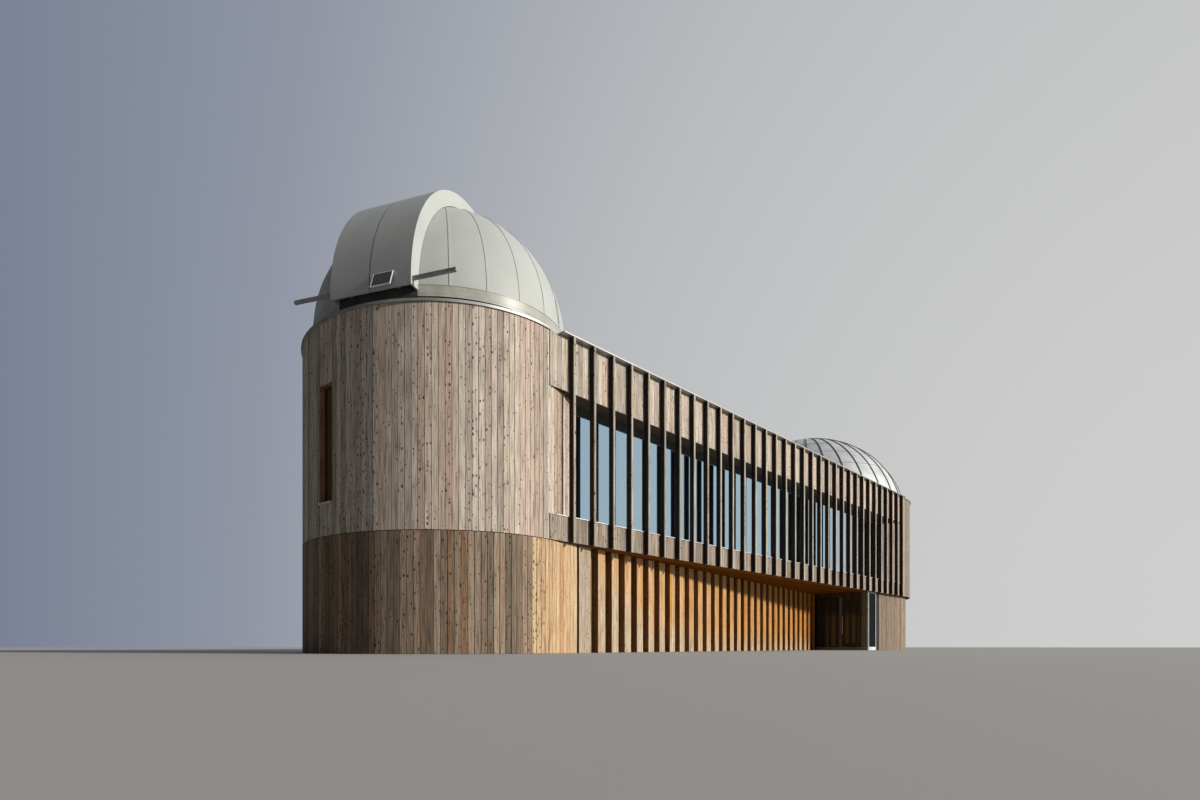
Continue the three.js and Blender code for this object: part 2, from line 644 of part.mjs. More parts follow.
// Small solar panel on two struts in front of the right shutter, leaning back.
const PANEL = { y: [100, 600], z: [7880, 8230], lean: 0.4, thickness: 30, stand: 137 };
const STRUT = { inset: 90, width: 40, reach: 200, bottom: 8040, top: 8080 };
const panelX = HOOD_CENTRE[0] + HOOD_R + PANEL.stand;

// The panel's back plane at a level.
function panelBack(z) {
  return panelX - (z - PANEL.z[0]) * PANEL.lean;
}

const panelSection = [
  [panelBack(PANEL.z[0]), PANEL.z[0]],
  [panelBack(PANEL.z[0]) + PANEL.thickness, PANEL.z[0]],
  [panelBack(PANEL.z[1]) + PANEL.thickness, PANEL.z[1]],
  [panelBack(PANEL.z[1]), PANEL.z[1]],
];
const strutX = HOOD_CENTRE[0] + HOOD_R - STRUT.reach;
const strutSection = [
  [strutX, STRUT.bottom],
  [panelBack(STRUT.bottom) + PANEL.thickness / 2, STRUT.bottom],
  [panelBack(STRUT.top) + PANEL.thickness / 2, STRUT.top],
  [strutX, STRUT.top],
];
const strutStarts = [PANEL.y[0] + STRUT.inset, PANEL.y[1] - STRUT.inset - STRUT.width];
const struts = strutStarts.map((y) => alongY(strutSection, y, y + STRUT.width));
const hoodSkin = alongY(hoodOutline(HOOD_R + 2 * GAP, HOOD_END_ANGLE), -HOOD_HALF, HOOD_HALF);
add('solar_panel', cut(join(alongY(panelSection, ...PANEL.y), ...struts), hoodSkin), darkSteel, dome);

export default building;
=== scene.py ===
import math
from functools import partial
from types import SimpleNamespace as Sizes

import bmesh
import bpy
import numpy as np
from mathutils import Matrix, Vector


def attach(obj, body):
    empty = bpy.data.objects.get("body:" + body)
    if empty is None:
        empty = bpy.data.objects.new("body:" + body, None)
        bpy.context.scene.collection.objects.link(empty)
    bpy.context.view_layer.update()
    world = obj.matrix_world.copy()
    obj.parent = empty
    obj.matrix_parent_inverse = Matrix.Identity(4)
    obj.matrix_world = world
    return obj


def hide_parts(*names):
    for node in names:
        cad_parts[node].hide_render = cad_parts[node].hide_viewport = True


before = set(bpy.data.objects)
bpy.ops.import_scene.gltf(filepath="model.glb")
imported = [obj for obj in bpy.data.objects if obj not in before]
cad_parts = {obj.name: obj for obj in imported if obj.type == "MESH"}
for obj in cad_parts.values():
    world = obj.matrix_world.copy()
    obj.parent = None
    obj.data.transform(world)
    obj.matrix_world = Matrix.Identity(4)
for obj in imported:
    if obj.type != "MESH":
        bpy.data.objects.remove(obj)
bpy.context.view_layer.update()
scene = bpy.context.scene


# The viewpoint is almost on the ground, to the front left of the observatory drum. The lens is kept
# level and shifted upwards, so that the building's upright lines stay upright.
camera = bpy.data.objects.new("camera", bpy.data.cameras.new("camera"))
camera.location = (-11.5286, -14.4081, 0.1575)
camera.rotation_euler = (math.radians(90), 0, math.radians(-44.92))
camera.data.lens = 20.852
camera.data.sensor_width = 36
camera.data.shift_x = 0.0688
camera.data.shift_y = 0.2056
scene.collection.objects.link(camera)
scene.camera = camera
scene.view_settings.view_transform = "Standard"


# One large warm lamp low on the front right is the key, and a grey surround fills in the rest: bright
# behind the building and on the lamp's side, dark on the side that faces away from the lamp.
LAMP_AZIMUTH = math.radians(-67)
LAMP_ELEVATION = math.radians(19.5)
SURROUND_AZIMUTH = math.radians(-10)
SURROUND_COLOURS = [(0.0, "#24262b"), (0.25, "#3a3f49"), (0.5, "#7d8598"), (0.62, "#9096a4"),
                    (0.8, "#b8babd"), (1.0, "#cfcfce")]


def outward_at(climb, azimuth):
    """Unit vectors at a climb and an azimuth: (cos climb cos azimuth, cos climb sin azimuth, sin climb)."""
    climb, azimuth = np.broadcast_arrays(climb, azimuth)
    level = np.cos(climb)
    return np.stack([level * np.cos(azimuth), level * np.sin(azimuth), np.sin(climb)], axis=-1)


def linear(code):
    """Linear colour of an sRGB hex value: a channel is taken over 255, then ((c + 0.055) / 1.055) ^ 2.4,
    or c / 12.92 where it is darker than 0.04."""
    channels = np.array([int(code[i:i + 2], 16) / 255 for i in (1, 3, 5)])
    bright = ((channels + 0.055) / 1.055) ** 2.4
    return tuple(np.where(channels > 0.04045, bright, channels / 12.92)) + (1.0,)


def set_inputs(node, inputs):
    """Sets a node's inputs: the output of another node is linked, and anything else is a constant."""
    for socket, value in inputs.items():
        if isinstance(value, bpy.types.NodeSocket):
            node.id_data.links.new(value, node.inputs[socket])
        else:
            node.inputs[socket].default_value = value


def add_node(tree, kind, inputs, output=0, **settings):
    """Adds a node to a tree, sets its attributes and inputs, and returns one of its outputs."""
    node = tree.nodes.new("ShaderNode" + kind)
    for name, value in settings.items():
        setattr(node, name, value)
    set_inputs(node, inputs)
    return node.outputs[output]


def colour_ramp(add, place, stops):
    """The colour at a place between stops, which are (place, sRGB hex) pairs."""
    colour = add("ValToRGB", {0: place})
    elements = colour.node.color_ramp.elements
    while len(elements) < len(stops):
        elements.new(0.5)
    for element, (position, code) in zip(elements, stops):
        element.position = position
        element.color = linear(code)
    return colour


lamp = bpy.data.objects.new("key_lamp", bpy.data.lights.new("key_lamp", "SUN"))
lamp_direction = Vector(outward_at(LAMP_ELEVATION, LAMP_AZIMUTH))
lamp.rotation_euler = lamp_direction.to_track_quat("Z", "Y").to_euler()
lamp.data.energy = 3.9
lamp.data.angle = math.radians(5)
lamp.data.color = linear("#fffaf2")[:3]
scene.collection.objects.link(lamp)

surround = bpy.data.worlds.new("surround")
surround.use_nodes = True
scene.world = surround
add = partial(add_node, surround.node_tree)
brightest = tuple(outward_at(0, SURROUND_AZIMUTH))
towards = add("VectorMath", {0: add("TexCoord", {}, "Generated"), 1: brightest}, "Value",
              operation="DOT_PRODUCT")
nearness = add("MapRange", {"Value": towards, "From Min": -1, "From Max": 1})
background = surround.node_tree.nodes["Background"]
set_inputs(background, {"Color": colour_ramp(add, nearness, SURROUND_COLOURS)})


# The studio floor is a wide, pale, matt disc at ground level. It belongs to the studio and not to the
# part: the building stands on it, and it throws soft light up under the overhangs.
FLOOR_RADIUS = 180
FLOOR_CENTRE = (13, 1, -0.001)


def on_circle(radius, degrees, height=0.0, centre=(0, 0, 0)):
    """Points on a level circle: centre plus radius times (cos, sin), at a height."""
    angles = np.radians(degrees)
    heights = np.broadcast_to(height, angles.shape)
    return np.stack([radius * np.cos(angles), radius * np.sin(angles), heights], axis=-1) + centre


def add_mesh(name, points, faces, flat=None, board=None, weld=False, crease=None):
    """A mesh object whose faces all look outwards. flat is each point's place on the unrolled surface in
    metres, kept as the UV map, and board three numbers for the point's board. weld merges points that
    coincide. Edges sharper than crease degrees stay sharp in smooth shading; without it faces are flat."""
    mesh = bpy.data.meshes.new(name)
    mesh.from_pydata(points.reshape(-1, 3).tolist(), [], faces)
    if flat is not None:
        corner_points = np.empty(len(mesh.loops), dtype=np.int32)
        mesh.loops.foreach_get("vertex_index", corner_points)
        layer = mesh.uv_layers.new(name="flat")
        layer.data.foreach_set("uv", flat.reshape(-1, 2)[corner_points].ravel().astype(np.float32))
    if board is not None:
        numbers = mesh.attributes.new("board", "FLOAT_VECTOR", "POINT")
        numbers.data.foreach_set("vector", board.reshape(-1, 3).ravel().astype(np.float32))
    body = bmesh.new()
    body.from_mesh(mesh)
    if weld:
        bmesh.ops.remove_doubles(body, verts=body.verts, dist=1e-5)
    bmesh.ops.recalc_face_normals(body, faces=body.faces)
    body.to_mesh(mesh)
    body.free()
    if crease is not None:
        mesh.shade_smooth()
        mesh.set_sharp_from_angle(angle=math.radians(crease))
    piece = bpy.data.objects.new(name, mesh)
    scene.collection.objects.link(piece)
    return piece


def new_material(name):
    """A material with one Principled shader. Returns the material, what adds nodes to it, and the shader."""
    material = bpy.data.materials.new(name)
    material.use_nodes = True
    return material, partial(add_node, material.node_tree), material.node_tree.nodes["Principled BSDF"]


floor_rim = on_circle(FLOOR_RADIUS, np.linspace(0, 360, 96, endpoint=False), centre=FLOOR_CENTRE)
floor_mesh = bpy.data.meshes.new("studio_floor")
floor_mesh.from_pydata(floor_rim.tolist(), [], [list(range(len(floor_rim)))])
floor = bpy.data.objects.new("studio_floor", floor_mesh)
scene.collection.objects.link(floor)

floor_paint, _, shader = new_material("pale floor paint")
set_inputs(shader, {"Base Color": linear("#a9a7a2"), "Roughness": 0.9})
floor.data.materials.append(floor_paint)


# Slabs: the ground slab, the upper floor and the roof are cast concrete. The roof's has a grey bitumen
# felt on top, with a sanded surface; the others keep the float marks and pores of cast concrete.
def place(piece, material, slot, *stands_for, body="building"):
    """Gives a new piece its material, puts it on its body, and hides the nodes it stands for. The slot is
    not used.
    """
    piece.data.materials.append(material)
    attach(piece, body)
    if stands_for:
        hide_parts(*stands_for)


def dress(material, *nodes):
    """Gives carried-over CAD nodes a material."""
    for node in nodes:
        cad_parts[node].material_slots[0].material = material


def cloudy_noise(add, size, detail):
    """Noise in patches of a size in metres, laid out on the piece's own coordinates."""
    own_place = add("TexCoord", {}, "Object")
    return add("TexNoise", {"Vector": own_place, "Scale": 1 / size, "Detail": detail})


def mottled(name, light, dark, patch, grit, roughness):
    """A mineral surface: two greys mixed in patches of one size, with grit of another, both in metres.
    The eye sees a dull, slightly cloudy surface without gloss."""
    material, add, shader = new_material(name)
    grains = cloudy_noise(add, grit, 2)
    both = add("Math", {0: grains, 1: 0.35, 2: cloudy_noise(add, patch, 4)}, operation="MULTIPLY_ADD")
    set_inputs(shader, {
        "Base Color": colour_ramp(add, both, [(0.45, dark), (0.9, light)]),
        "Normal": add("Bump", {"Height": grains, "Strength": 0.4, "Distance": 0.002}),
        "Roughness": roughness,
    })
    return material


dress(mottled("cast concrete", "#9a9892", "#7d7b76", 0.6, 0.02, 0.9), "ground_slab", "upper_floor_slab")
dress(mottled("sanded bitumen felt", "#5d5f60", "#48494a", 1.1, 0.015, 0.95), "roof_slab")


# Larch: both storeys are clad in planed, unfinished larch boards fixed upright with thin open joints.
# Sun and rain have turned the upper boards silver, beige and pinkish; those kept dry are still orange.
BOARD_PITCH = 0.147
PLAIN_TONES = 0.78
HONEY_TONES = 0.84
PATTERN_STRIDE = (37.0, 53.0, 0.0)
HONEY_STOPS = [(HONEY_TONES, "#cdad84"), (0.92, "#d8bd97"), (1.0, "#c19a71")]


def mix(add, share, first, second, blend="MIX"):
    """Two colours mixed by a share."""
    return add("Mix", {0: share, 6: first, 7: second}, 2, data_type="RGBA", blend_type=blend)


def split(add, vector):
    """The three numbers of a vector."""
    return add("SeparateXYZ", {0: vector}).node.outputs[:]


def larch(name, tones, streak, knot, dry_tones=None, flat=True, specular=0.3):
    """Planed larch. Every board has its own tone from the ramp. Early and late wood show as streaks along
    it, about 20 mm apart and 0.7 m long; knots are 10 to 45 mm across, ragged at the rim, at most one in
    each patch of 80 mm by 140 mm, and more of them on some boards. With dry_tones, a board keeps those
    above its own weather line, a level in metres above its foot, and fades to the other tones below it.
    The pattern lies on each board's unrolled surface, or upright on the object's axes if flat is off."""
    material, add, shader = new_material(name)
    if flat:
        own = add("Attribute", {}, "Vector", attribute_name="board")
        unrolled = add("TexCoord", {}, "UV")
        plane = add("VectorMath", {0: own, 1: PATTERN_STRIDE, 2: unrolled}, operation="MULTIPLY_ADD")
    else:
        x, y, z = split(add, add("TexCoord", {}, "Object"))
        across = add("Math", {0: x, 1: y})
        plane = add("CombineXYZ", {0: across, 1: z})
        steps = add("Math", {0: across, 1: BOARD_PITCH}, operation="DIVIDE")
        board_number = add("Math", {0: steps}, operation="FLOOR")
        own = add("TexWhiteNoise", {"W": board_number}, "Color", noise_dimensions="1D")
    own_tone, own_second, own_line = split(add, own)
    tone = colour_ramp(add, own_tone, tones)
    if dry_tones:
        above = add("Math", {0: split(add, unrolled)[1], 1: own_line}, operation="SUBTRACT")
        dryness = add("MapRange", {"Value": above, "From Min": -0.7, "From Max": 0.45},
                      interpolation_type="SMOOTHSTEP")
        tone = mix(add, dryness, tone, colour_ramp(add, own_second, dry_tones))

    def patches(across, along):
        """The plane counted in patches, which have a size in metres across and along the board."""
        return add("Mapping", {"Vector": plane, "Scale": (1 / across, 1 / along, 1)})

    grain = add("TexNoise", {
        "Vector": patches(0.02, 0.7), "Scale": 1.0, "Detail": 5, "Roughness": 0.62, "Distortion": 0.15,
    }, noise_dimensions="2D")
    streaks = colour_ramp(add, grain, [(0.34, streak), (0.56, "#ffffff")])
    weather = add("TexNoise", {"Vector": patches(0.09, 0.9), "Scale": 1.0, "Detail": 3},
                  noise_dimensions="2D")
    stains = colour_ramp(add, weather, [(0.32, "#a8a3a0"), (0.58, "#ffffff")])
    wood = mix(add, 0.35, mix(add, 0.8, tone, streaks, "MULTIPLY"), stains, "MULTIPLY")

    distance = add("TexVoronoi", {"Vector": patches(0.08, 0.14), "Scale": 1.0, "Randomness": 1.0},
                   "Distance", voronoi_dimensions="2D")
    knot_number, knot_shade, _ = split(add, distance.node.outputs["Color"])
    knotty = add("Math", {0: own_second, 1: 0.35, 2: knot_number}, operation="MULTIPLY_ADD")
    size = add("MapRange", {"Value": knotty, "From Min": 0.5, "From Max": 1.3, "To Min": -0.12,
                            "To Max": 0.25})
    inside = add("Math", {0: size, 1: distance}, operation="SUBTRACT")
    ragged = add("Math", {0: weather, 1: 0.12, 2: inside}, operation="MULTIPLY_ADD")
    darkness = add("MapRange", {"Value": knot_shade, "To Min": 0.5})
    mask = add("MapRange", {"Value": ragged, "From Max": 0.05, "To Max": darkness})
    set_inputs(shader, {
        "Base Color": mix(add, mask, wood, linear(knot)),
        "Normal": add("Bump", {"Height": grain, "Strength": 0.35, "Distance": 0.002}),
        "Roughness": 0.78,
        "Specular IOR Level": specular,
    })
    return material


weathered_larch = larch("weathered larch", [
    (0.0, "#a19a8e"), (0.16, "#c6bba9"), (0.34, "#d4c8b7"), (0.5, "#cbb5a3"), (0.66, "#dcd1c1"),
    (0.82, "#c6ad98"), (1.0, "#b6aea2"),
], "#a0958a", "#2c221b")
greyed_larch = larch("greyed larch", [
    (0.0, "#877d70"), (0.16, "#a4988a"), (0.34, "#b1a595"), (0.5, "#a99482"), (0.66, "#b8ac9c"),
    (0.82, "#a08670"), (1.0, "#978e83"),
], "#978d82", "#2a211b")
lower_larch = larch("half weathered larch", [
    (0.0, "#746858"), (0.16, "#95826f"), (0.3, "#a3907d"), (0.44, "#8c7664"), (0.58, "#aa9884"),
    (0.7, "#8f7054"), (PLAIN_TONES, "#857564"), *HONEY_STOPS,
], "#9f907e", "#2c2015")
batten_larch = larch("larch, dry above and bleached below", [
    (0.0, "#bcae98"), (0.3, "#d2c2a8"), (0.6, "#c6b196"), (PLAIN_TONES, "#b5a793"), *HONEY_STOPS,
], "#b89f82", "#4a3018", [
    (0.0, "#dcbe99"), (0.25, "#d6b07f"), (0.5, "#cf9e63"), (0.75, "#cd8e3c"), (1.0, "#c07d27"),
])
# Unweathered orange larch, its tones darkened and saturated as painted shade and painted orange bounce
# light.
fresh_larch = larch("sheltered larch darkened as painted shade", [
    (0.0, "#7c4c10"), (0.3, "#986014"), (0.6, "#8a5512"), (1.0, "#6d430c"),
], "#b98a58", "#3c220e", specular=0.02)
# Darker, duller brown than the battens' fronts: painted shade for the recess and the battens' sides.
recess_larch_painted_shade = larch("larch in the shade of the battens", [
    (0.0, "#8c6b46"), (0.3, "#a07d52"), (0.6, "#95734a"), (1.0, "#80623f"),
], "#b08a60", "#3c220e", specular=0.1)

backing, add, shader = new_material("black breather membrane")
weave = colour_ramp(add, cloudy_noise(add, 0.025, 2), [(0.3, "#0d0b0a"), (0.7, "#171412")])
set_inputs(shader, {"Base Color": weave, "Roughness": 0.95})


# Observatory drum: larch boards stand side by side round a timber wall covered with black membrane, in
# two tiers with a shadow line between them at ceiling level. The boards are nailed to battens.
NEAR_RADIUS = 3.5
FAR_RADIUS = 5.075
FAR_CENTRE = np.array([26.775, 1.575, 0.0])
TAPER = 2 * math.atan2(FAR_CENTRE[1], FAR_CENTRE[0])
TAPER_DEGREES = math.degrees(TAPER)
DRUMS = {"observatory": ("near_drum", (0, 0, 0)), "planetarium": ("far_drum", FAR_CENTRE)}
INSET = 0.19
WINDOW_BACK = 2.89
WALL = 0.25
BOARD_THICKNESS = 0.021
JOINT = 0.007
PLAY = 0.01
EASE = 0.002
UNEVENNESS = 0.0015
CLEAR = 0.001
BOARD_LEVELS = {"lower": (0.004, 2.652), "upper": (2.668, 7.536)}
CORE_LEVELS = {"lower": (0.0, 2.6597), "upper": (2.6603, 7.5397)}
SLOT = Sizes(azimuth=183.2, half=0.244, levels=(3.424, 6.095))
BOARDS_OFF_SLOT = (0.08, 0.004)
CORE_OFF_SLOT = (0.68, 0.03)
HONEY_FROM = 266.0
UP = np.array([0, 0, 1.0])
chance = np.random.default_rng(20)


def swept(name, path, side, up, section, closed=False, board=None, weld=False, crease=None):
    """A closed section carried along several paths at once. Its corner (a, b) lies at the path's point
    plus a times side plus b times up. path, side and up are (paths, stations, 3), and there is one
    section of (corners, 2) for all paths or one for each. The ends are capped, or joined if closed."""
    section = np.asarray(section, dtype=float)
    section = section[None, None] if section.ndim == 2 else section[:, None]
    path, side, up = np.broadcast_arrays(path, side, up)
    points = path[:, :, None] + section[..., :1] * side[:, :, None] + section[..., 1:] * up[:, :, None]
    number = np.arange(points[..., 0].size).reshape(points.shape[:3])
    here, there = (number, np.roll(number, -1, axis=1)) if closed else (number[:, :-1], number[:, 1:])
    sides = np.stack([here, np.roll(here, -1, axis=2), np.roll(there, -1, axis=2), there], axis=-1)
    faces = sides.reshape(-1, 4).tolist()
    if not closed:
        faces += number[:, 0, ::-1].tolist() + number[:, -1].tolist()
    flat = np.zeros(points.shape[:3] + (2,))
    flat[:, :, 1:, 0] = np.linalg.norm(np.diff(points, axis=2), axis=-1).cumsum(axis=2)
    flat[:, 1:, :, 1] = np.linalg.norm(np.diff(points[:, :, :1], axis=1), axis=-1).cumsum(axis=1)
    if board is not None:
        board = np.broadcast_to(board[:, None, None], points.shape)
    return add_mesh(name, points, faces, flat, board, weld, crease)


def boards(name, foot, head, across, outward, width, thickness=BOARD_THICKNESS, slope=0.0, play=0.001,
           own=()):
    """Straight boards in one mesh, from foot to head, the ends of the centre line of their show face. The
    section is a rectangle with eased front edges. Boards stand out unevenly and are up to play narrower
    than their width. slope is how far foot and head move along the board per metre across, for slanted
    ends. own holds each board's place on the tone ramp, on the dry tones' ramp, and the level above its
    foot up to which it has weathered; what it leaves out is random."""
    foot, head, across, outward = np.broadcast_arrays(foot, head, across, outward)
    count = len(foot)
    half = (np.broadcast_to(width, count) - chance.uniform(0, play, count)) / 2
    back = -np.broadcast_to(thickness, count)
    face = np.zeros(count)
    corners = [(-half, back), (-half, face - EASE), (EASE - half, face), (half - EASE, face),
               (half, face - EASE), (half, back)]
    section = np.stack([np.stack(corner, axis=-1) for corner in corners], axis=1)
    sink = chance.uniform(0, UNEVENNESS, count)[:, None] * outward
    along = (head - foot) / np.linalg.norm(head - foot, axis=-1, keepdims=True)
    side = across[:, None] + np.broadcast_to(slope, (count, 2))[..., None] * along[:, None]
    numbers = chance.uniform(0, 1, (count, 3))
    for column, given in enumerate(own):
        numbers[:, column] = given
    path = np.stack([foot - sink, head - sink], axis=1)
    return swept(name, path, side, outward[:, None], section, board=numbers)


def turned(name, section, arcs=None, centre=(0, 0, 0), stations=128, crease=25):
    """A section of radius and level turned about an upright axis: once all round, or along each arc
    between two azimuths. There is one section for all arcs or one for each."""
    closed = arcs is None
    if closed:
        angles = np.linspace(0, 360, stations, endpoint=False)[None]
    else:
        angles = np.linspace(*np.transpose(arcs), stations, axis=-1)
    axis = np.broadcast_to(centre, angles.shape + (3,))
    return swept(name, axis, on_circle(1.0, angles), UP, section, closed, weld=closed, crease=crease)


def board_run(start, end, pitch=BOARD_PITCH):
    """Splits a stretch into equal boards of about one pitch. Returns their middles and their pitch."""
    count = max(1, round((end - start) / pitch))
    edges = np.linspace(start, end, count + 1)
    return (edges[1:] + edges[:-1]) / 2, np.diff(edges)


def round_boards(name, radius, centre, runs, honey=None):
    """Boards round a drum. Each run is (first azimuth, last azimuth, foot level, head level). Boards past
    the azimuth honey take the last sixth of their material's tones, and the others the rest."""
    rows = []
    for start, end, low, high in runs:
        middles, steps = board_run(start, end, math.degrees(BOARD_PITCH / radius))
        rows.append([middles, steps, 0 * middles + low, 0 * middles + high])
    azimuths, steps, lows, highs = np.concatenate(rows, axis=1)
    outward = on_circle(1.0, azimuths)
    own = []
    if honey is not None:
        spread = chance.uniform(0, 1, len(azimuths))
        own = [np.where(azimuths > honey, HONEY_TONES + (1 - HONEY_TONES) * spread, PLAIN_TONES * spread)]
    foot, head = (on_circle(radius, azimuths, levels, centre) for levels in (lows, highs))
    return boards(name, foot, head, np.cross(UP, outward), outward, radius * np.radians(steps) - JOINT,
                  play=PLAY, own=own)


def round_wall(name, inner, outer, centre, runs):
    """A rectangle between two radii and two levels carried round an arc, once for each run."""
    sections = [[[inner, low], [outer, low], [outer, high], [inner, high]] for _, _, low, high in runs]
    return turned(name, sections, [run[:2] for run in runs], centre, 90, None)


def tier_runs(arc, levels, slot=None):
    """The runs of a tier of a drum. A slot, given by its half width in degrees and how far the tier stays
    off its foot and head, splits the tier into four: to the left, to the right, below and above."""
    if slot is None:
        return [(*arc, *levels)]
    half, off = slot
    left, right = SLOT.azimuth - half, SLOT.azimuth + half
    slot_foot, slot_head = SLOT.levels
    return [(arc[0], left, *levels), (right, arc[1], *levels),
            (left, right, levels[0], slot_foot - off), (left, right, slot_head + off, levels[1])]


def drum_tier(drum, tier, radius, arc, material, slots=(None, None), honey=None):
    """One tier of a drum: its boards and the wall behind them, for three walls of the CAD model."""
    cad_name, centre = DRUMS[drum]
    runs = tier_runs(arc, BOARD_LEVELS[tier], slots[0])
    place(round_boards(f"{drum}_drum_{tier}_boards", radius, centre, runs, honey), material,
          "weathered_larch", *[f"{cad_name}_{tier}_wall_{i}" for i in (1, 2, 3)])
    runs = tier_runs(arc, CORE_LEVELS[tier], slots[1])
    outer = radius - BOARD_THICKNESS - CLEAR
    place(round_wall(f"{drum}_drum_{tier}_core", radius - WALL, outer, centre, runs), backing, "dark_timber")


near_front = 360 - math.degrees(math.asin(WINDOW_BACK / NEAR_RADIUS))
near_arc = (TAPER_DEGREES - near_front + 360, near_front)
lower_rear = math.degrees(TAPER + math.asin((NEAR_RADIUS - INSET - WALL) / NEAR_RADIUS))
slot_edge = math.degrees(math.asin(SLOT.half / NEAR_RADIUS))
drum_tier("observatory", "upper", NEAR_RADIUS, near_arc, weathered_larch,
          [(slot_edge + beside, above) for beside, above in (BOARDS_OFF_SLOT, CORE_OFF_SLOT)])
drum_tier("observatory", "lower", NEAR_RADIUS, (lower_rear, 270 + TAPER_DEGREES), lower_larch,
          honey=HONEY_FROM)


# Slot window of the drum: a tall narrow opening lined with larch boards that never see rain, with a brown
# coated frame, one pane at its inner side drawn in an opaque warm brown, and a folded sill that throws
# water clear.
LINING_DEPTH = (3.352, 3.496)
LINING_THICKNESS = 0.022
LINING_LAP = 0.02
SLOT_SILL = [[3.352, 0.001], [3.532, 0.001], [3.532, -0.036], [3.536, -0.036], [3.536, 0.005],
             [3.352, 0.009]]
BOW_SIZE = 1 / 1.2
slot_out = on_circle(1.0, SLOT.azimuth)
slot_along = np.cross(UP, slot_out)


def in_slot(distance, along, level):
    """Points of the slot: distance from the drum's axis, place along the wall, and level."""
    return slot_out * distance + slot_along * along + UP * level


def metal(name, colour, dull, shine, cloud, relief=0.0002, metallic=0.0, specular=0.5):
    """A sheet or rolled metal surface: one colour, dulled unevenly in clouds of a size in metres, so that
    reflections wander a little, with a faint unevenness of the sheet itself."""
    material, add, shader = new_material(name)
    clouds = cloudy_noise(add, cloud, 4)
    set_inputs(shader, {
        "Base Color": colour_ramp(add, clouds, [(0.35, dull), (0.65, colour)]),
        "Roughness": add("MapRange", {"Value": clouds, "To Min": shine[0], "To Max": shine[1]}),
        "Normal": add("Bump", {"Height": clouds, "Strength": 0.3, "Distance": relief}),
        "Metallic": metallic,
        "Specular IOR Level": specular,
    })
    return material


def glass(name, colour, ior=None):
    """A pane of float glass, drawn as an opaque mirror over its tint, or over its metal coating where no
    index of refraction is given. The two panes of a sealed unit bow a little in the heat, so reflections
    in it wander slightly over about a metre."""
    material, add, shader = new_material(name)
    ripple = cloudy_noise(add, BOW_SIZE, 1)
    heat_bow = add("Bump", {"Height": ripple, "Strength": 0.1, "Distance": 0.001})
    set_inputs(shader, {"Base Color": linear(colour), "Roughness": 0.02, "Normal": heat_bow})
    set_inputs(shader, {"Metallic": 1.0} if ior is None else {"IOR": ior})
    return material


slot_half, (slot_foot, slot_head) = SLOT.half, SLOT.levels
lining_middle = sum(LINING_DEPTH) / 2
lap = slot_half + LINING_LAP
lining_feet = [in_slot(lining_middle, along, level) for along, level in (
    (-slot_half, slot_foot), (slot_half, slot_foot), (-lap, slot_foot), (-lap, slot_head))]
lining_heads = [in_slot(lining_middle, along, level) for along, level in (
    (-slot_half, slot_head), (slot_half, slot_head), (lap, slot_foot), (lap, slot_head))]
sheltered_larch = larch("sheltered brown larch", [(0.0, "#b39075"), (1.0, "#a68064")], "#a98f78", "#4a3222")
place(boards("slot_window_lining", lining_feet, lining_heads, slot_out,
             np.array([slot_along, -slot_along, UP, -UP]), LINING_DEPTH[1] - LINING_DEPTH[0],
             LINING_THICKNESS), sheltered_larch, "fresh_larch")
anodised = metal("anodised aluminium", "#e4e6e8", "#d3d6d9", (0.35, 0.5), 0.4, metallic=0.25)
sill_path = [[in_slot(0, along, slot_foot) for along in (-slot_half, slot_half)]]
place(swept("slot_window_sill", sill_path, slot_out, UP, SLOT_SILL), anodised, "bright_aluminium")
dress(metal("brown powder coated aluminium", "#47352a", "#3a2a20", (0.4, 0.55), 0.2), "slot_window_frame")
# The slot pane is drawn in an opaque warm brown.
dress(glass("clear glass drawn in warm brown", "#654b39", 1.42), "slot_window_glass")


# Planetarium drum: the same boards on a larger circle, in two tiers. The lower tier is set in, so that
# the upper storey overhangs it.
far_front = math.degrees(math.asin((WINDOW_BACK + FAR_CENTRE[1]) / FAR_RADIUS)) - 180
far_arc = (far_front, TAPER_DEGREES - far_front)
drum_tier("planetarium", "upper", FAR_RADIUS, far_arc, greyed_larch)
drum_tier("planetarium", "lower", FAR_RADIUS - INSET, (-90, 90 + TAPER_DEGREES), greyed_larch)


# Batten wall: it leaves the drum on a tangent. Closed boards come first, then a groove and a broad pair
# of boards, then 29 wide upright battens, each three narrow boards boxed out from a boarded wall. The
# wall between the battens and the battens' sides stay in their shade. Their brown is darkened and dulled
# as painted shade.
WALL_FACE = 3.5
RECESS_FACE = 3.33
GROOVE_DEPTH = 0.04
WALL_BACK = 3.1
WALL_END = 21.944
BATTENS = Sizes(count=29, first=2.336, pitch=0.68575, width=0.345)
BATTEN_JOINT = 0.004
BATTEN_PLAY = 0.003
CLOSED_END = 1.18
BROAD = (1.27, 1.81)
BROAD_PITCH = 0.27
WEATHER_LINE = Sizes(far=0.35, rise=2.4, start=1.3, fade=3.4, spread=0.22, broad=2.9)
DRY_TONE = Sizes(start=0.1, rise=0.8, spread=0.12)
BLEACHED_TONES = 0.8
FRONT = np.array([1.0, 0, 0])
SLANT = np.array([math.cos(TAPER), math.sin(TAPER), 0])
LINES = {
    "front": (FRONT, np.cross(FRONT, UP)),
    "rear": (SLANT, np.cross(UP, SLANT)),
    "battens": (SLANT, np.cross(SLANT, UP)),
}


def on_line(line, stations, distance, height):
    """Points of a straight wall: station along its line, distance from the drum's axis, and height."""
    along, out = LINES[line]
    stations, distance = np.broadcast_arrays(stations, distance)
    return stations[:, None] * along + distance[:, None] * out + height * UP


def straight_row(name, line, stations, distance, levels, *size, **looks):
    """Upright boards side by side along a straight wall, between two levels."""
    foot, head = (on_line(line, stations, distance, level) for level in levels)
    return boards(name, foot, head, *LINES[line], *size, **looks)


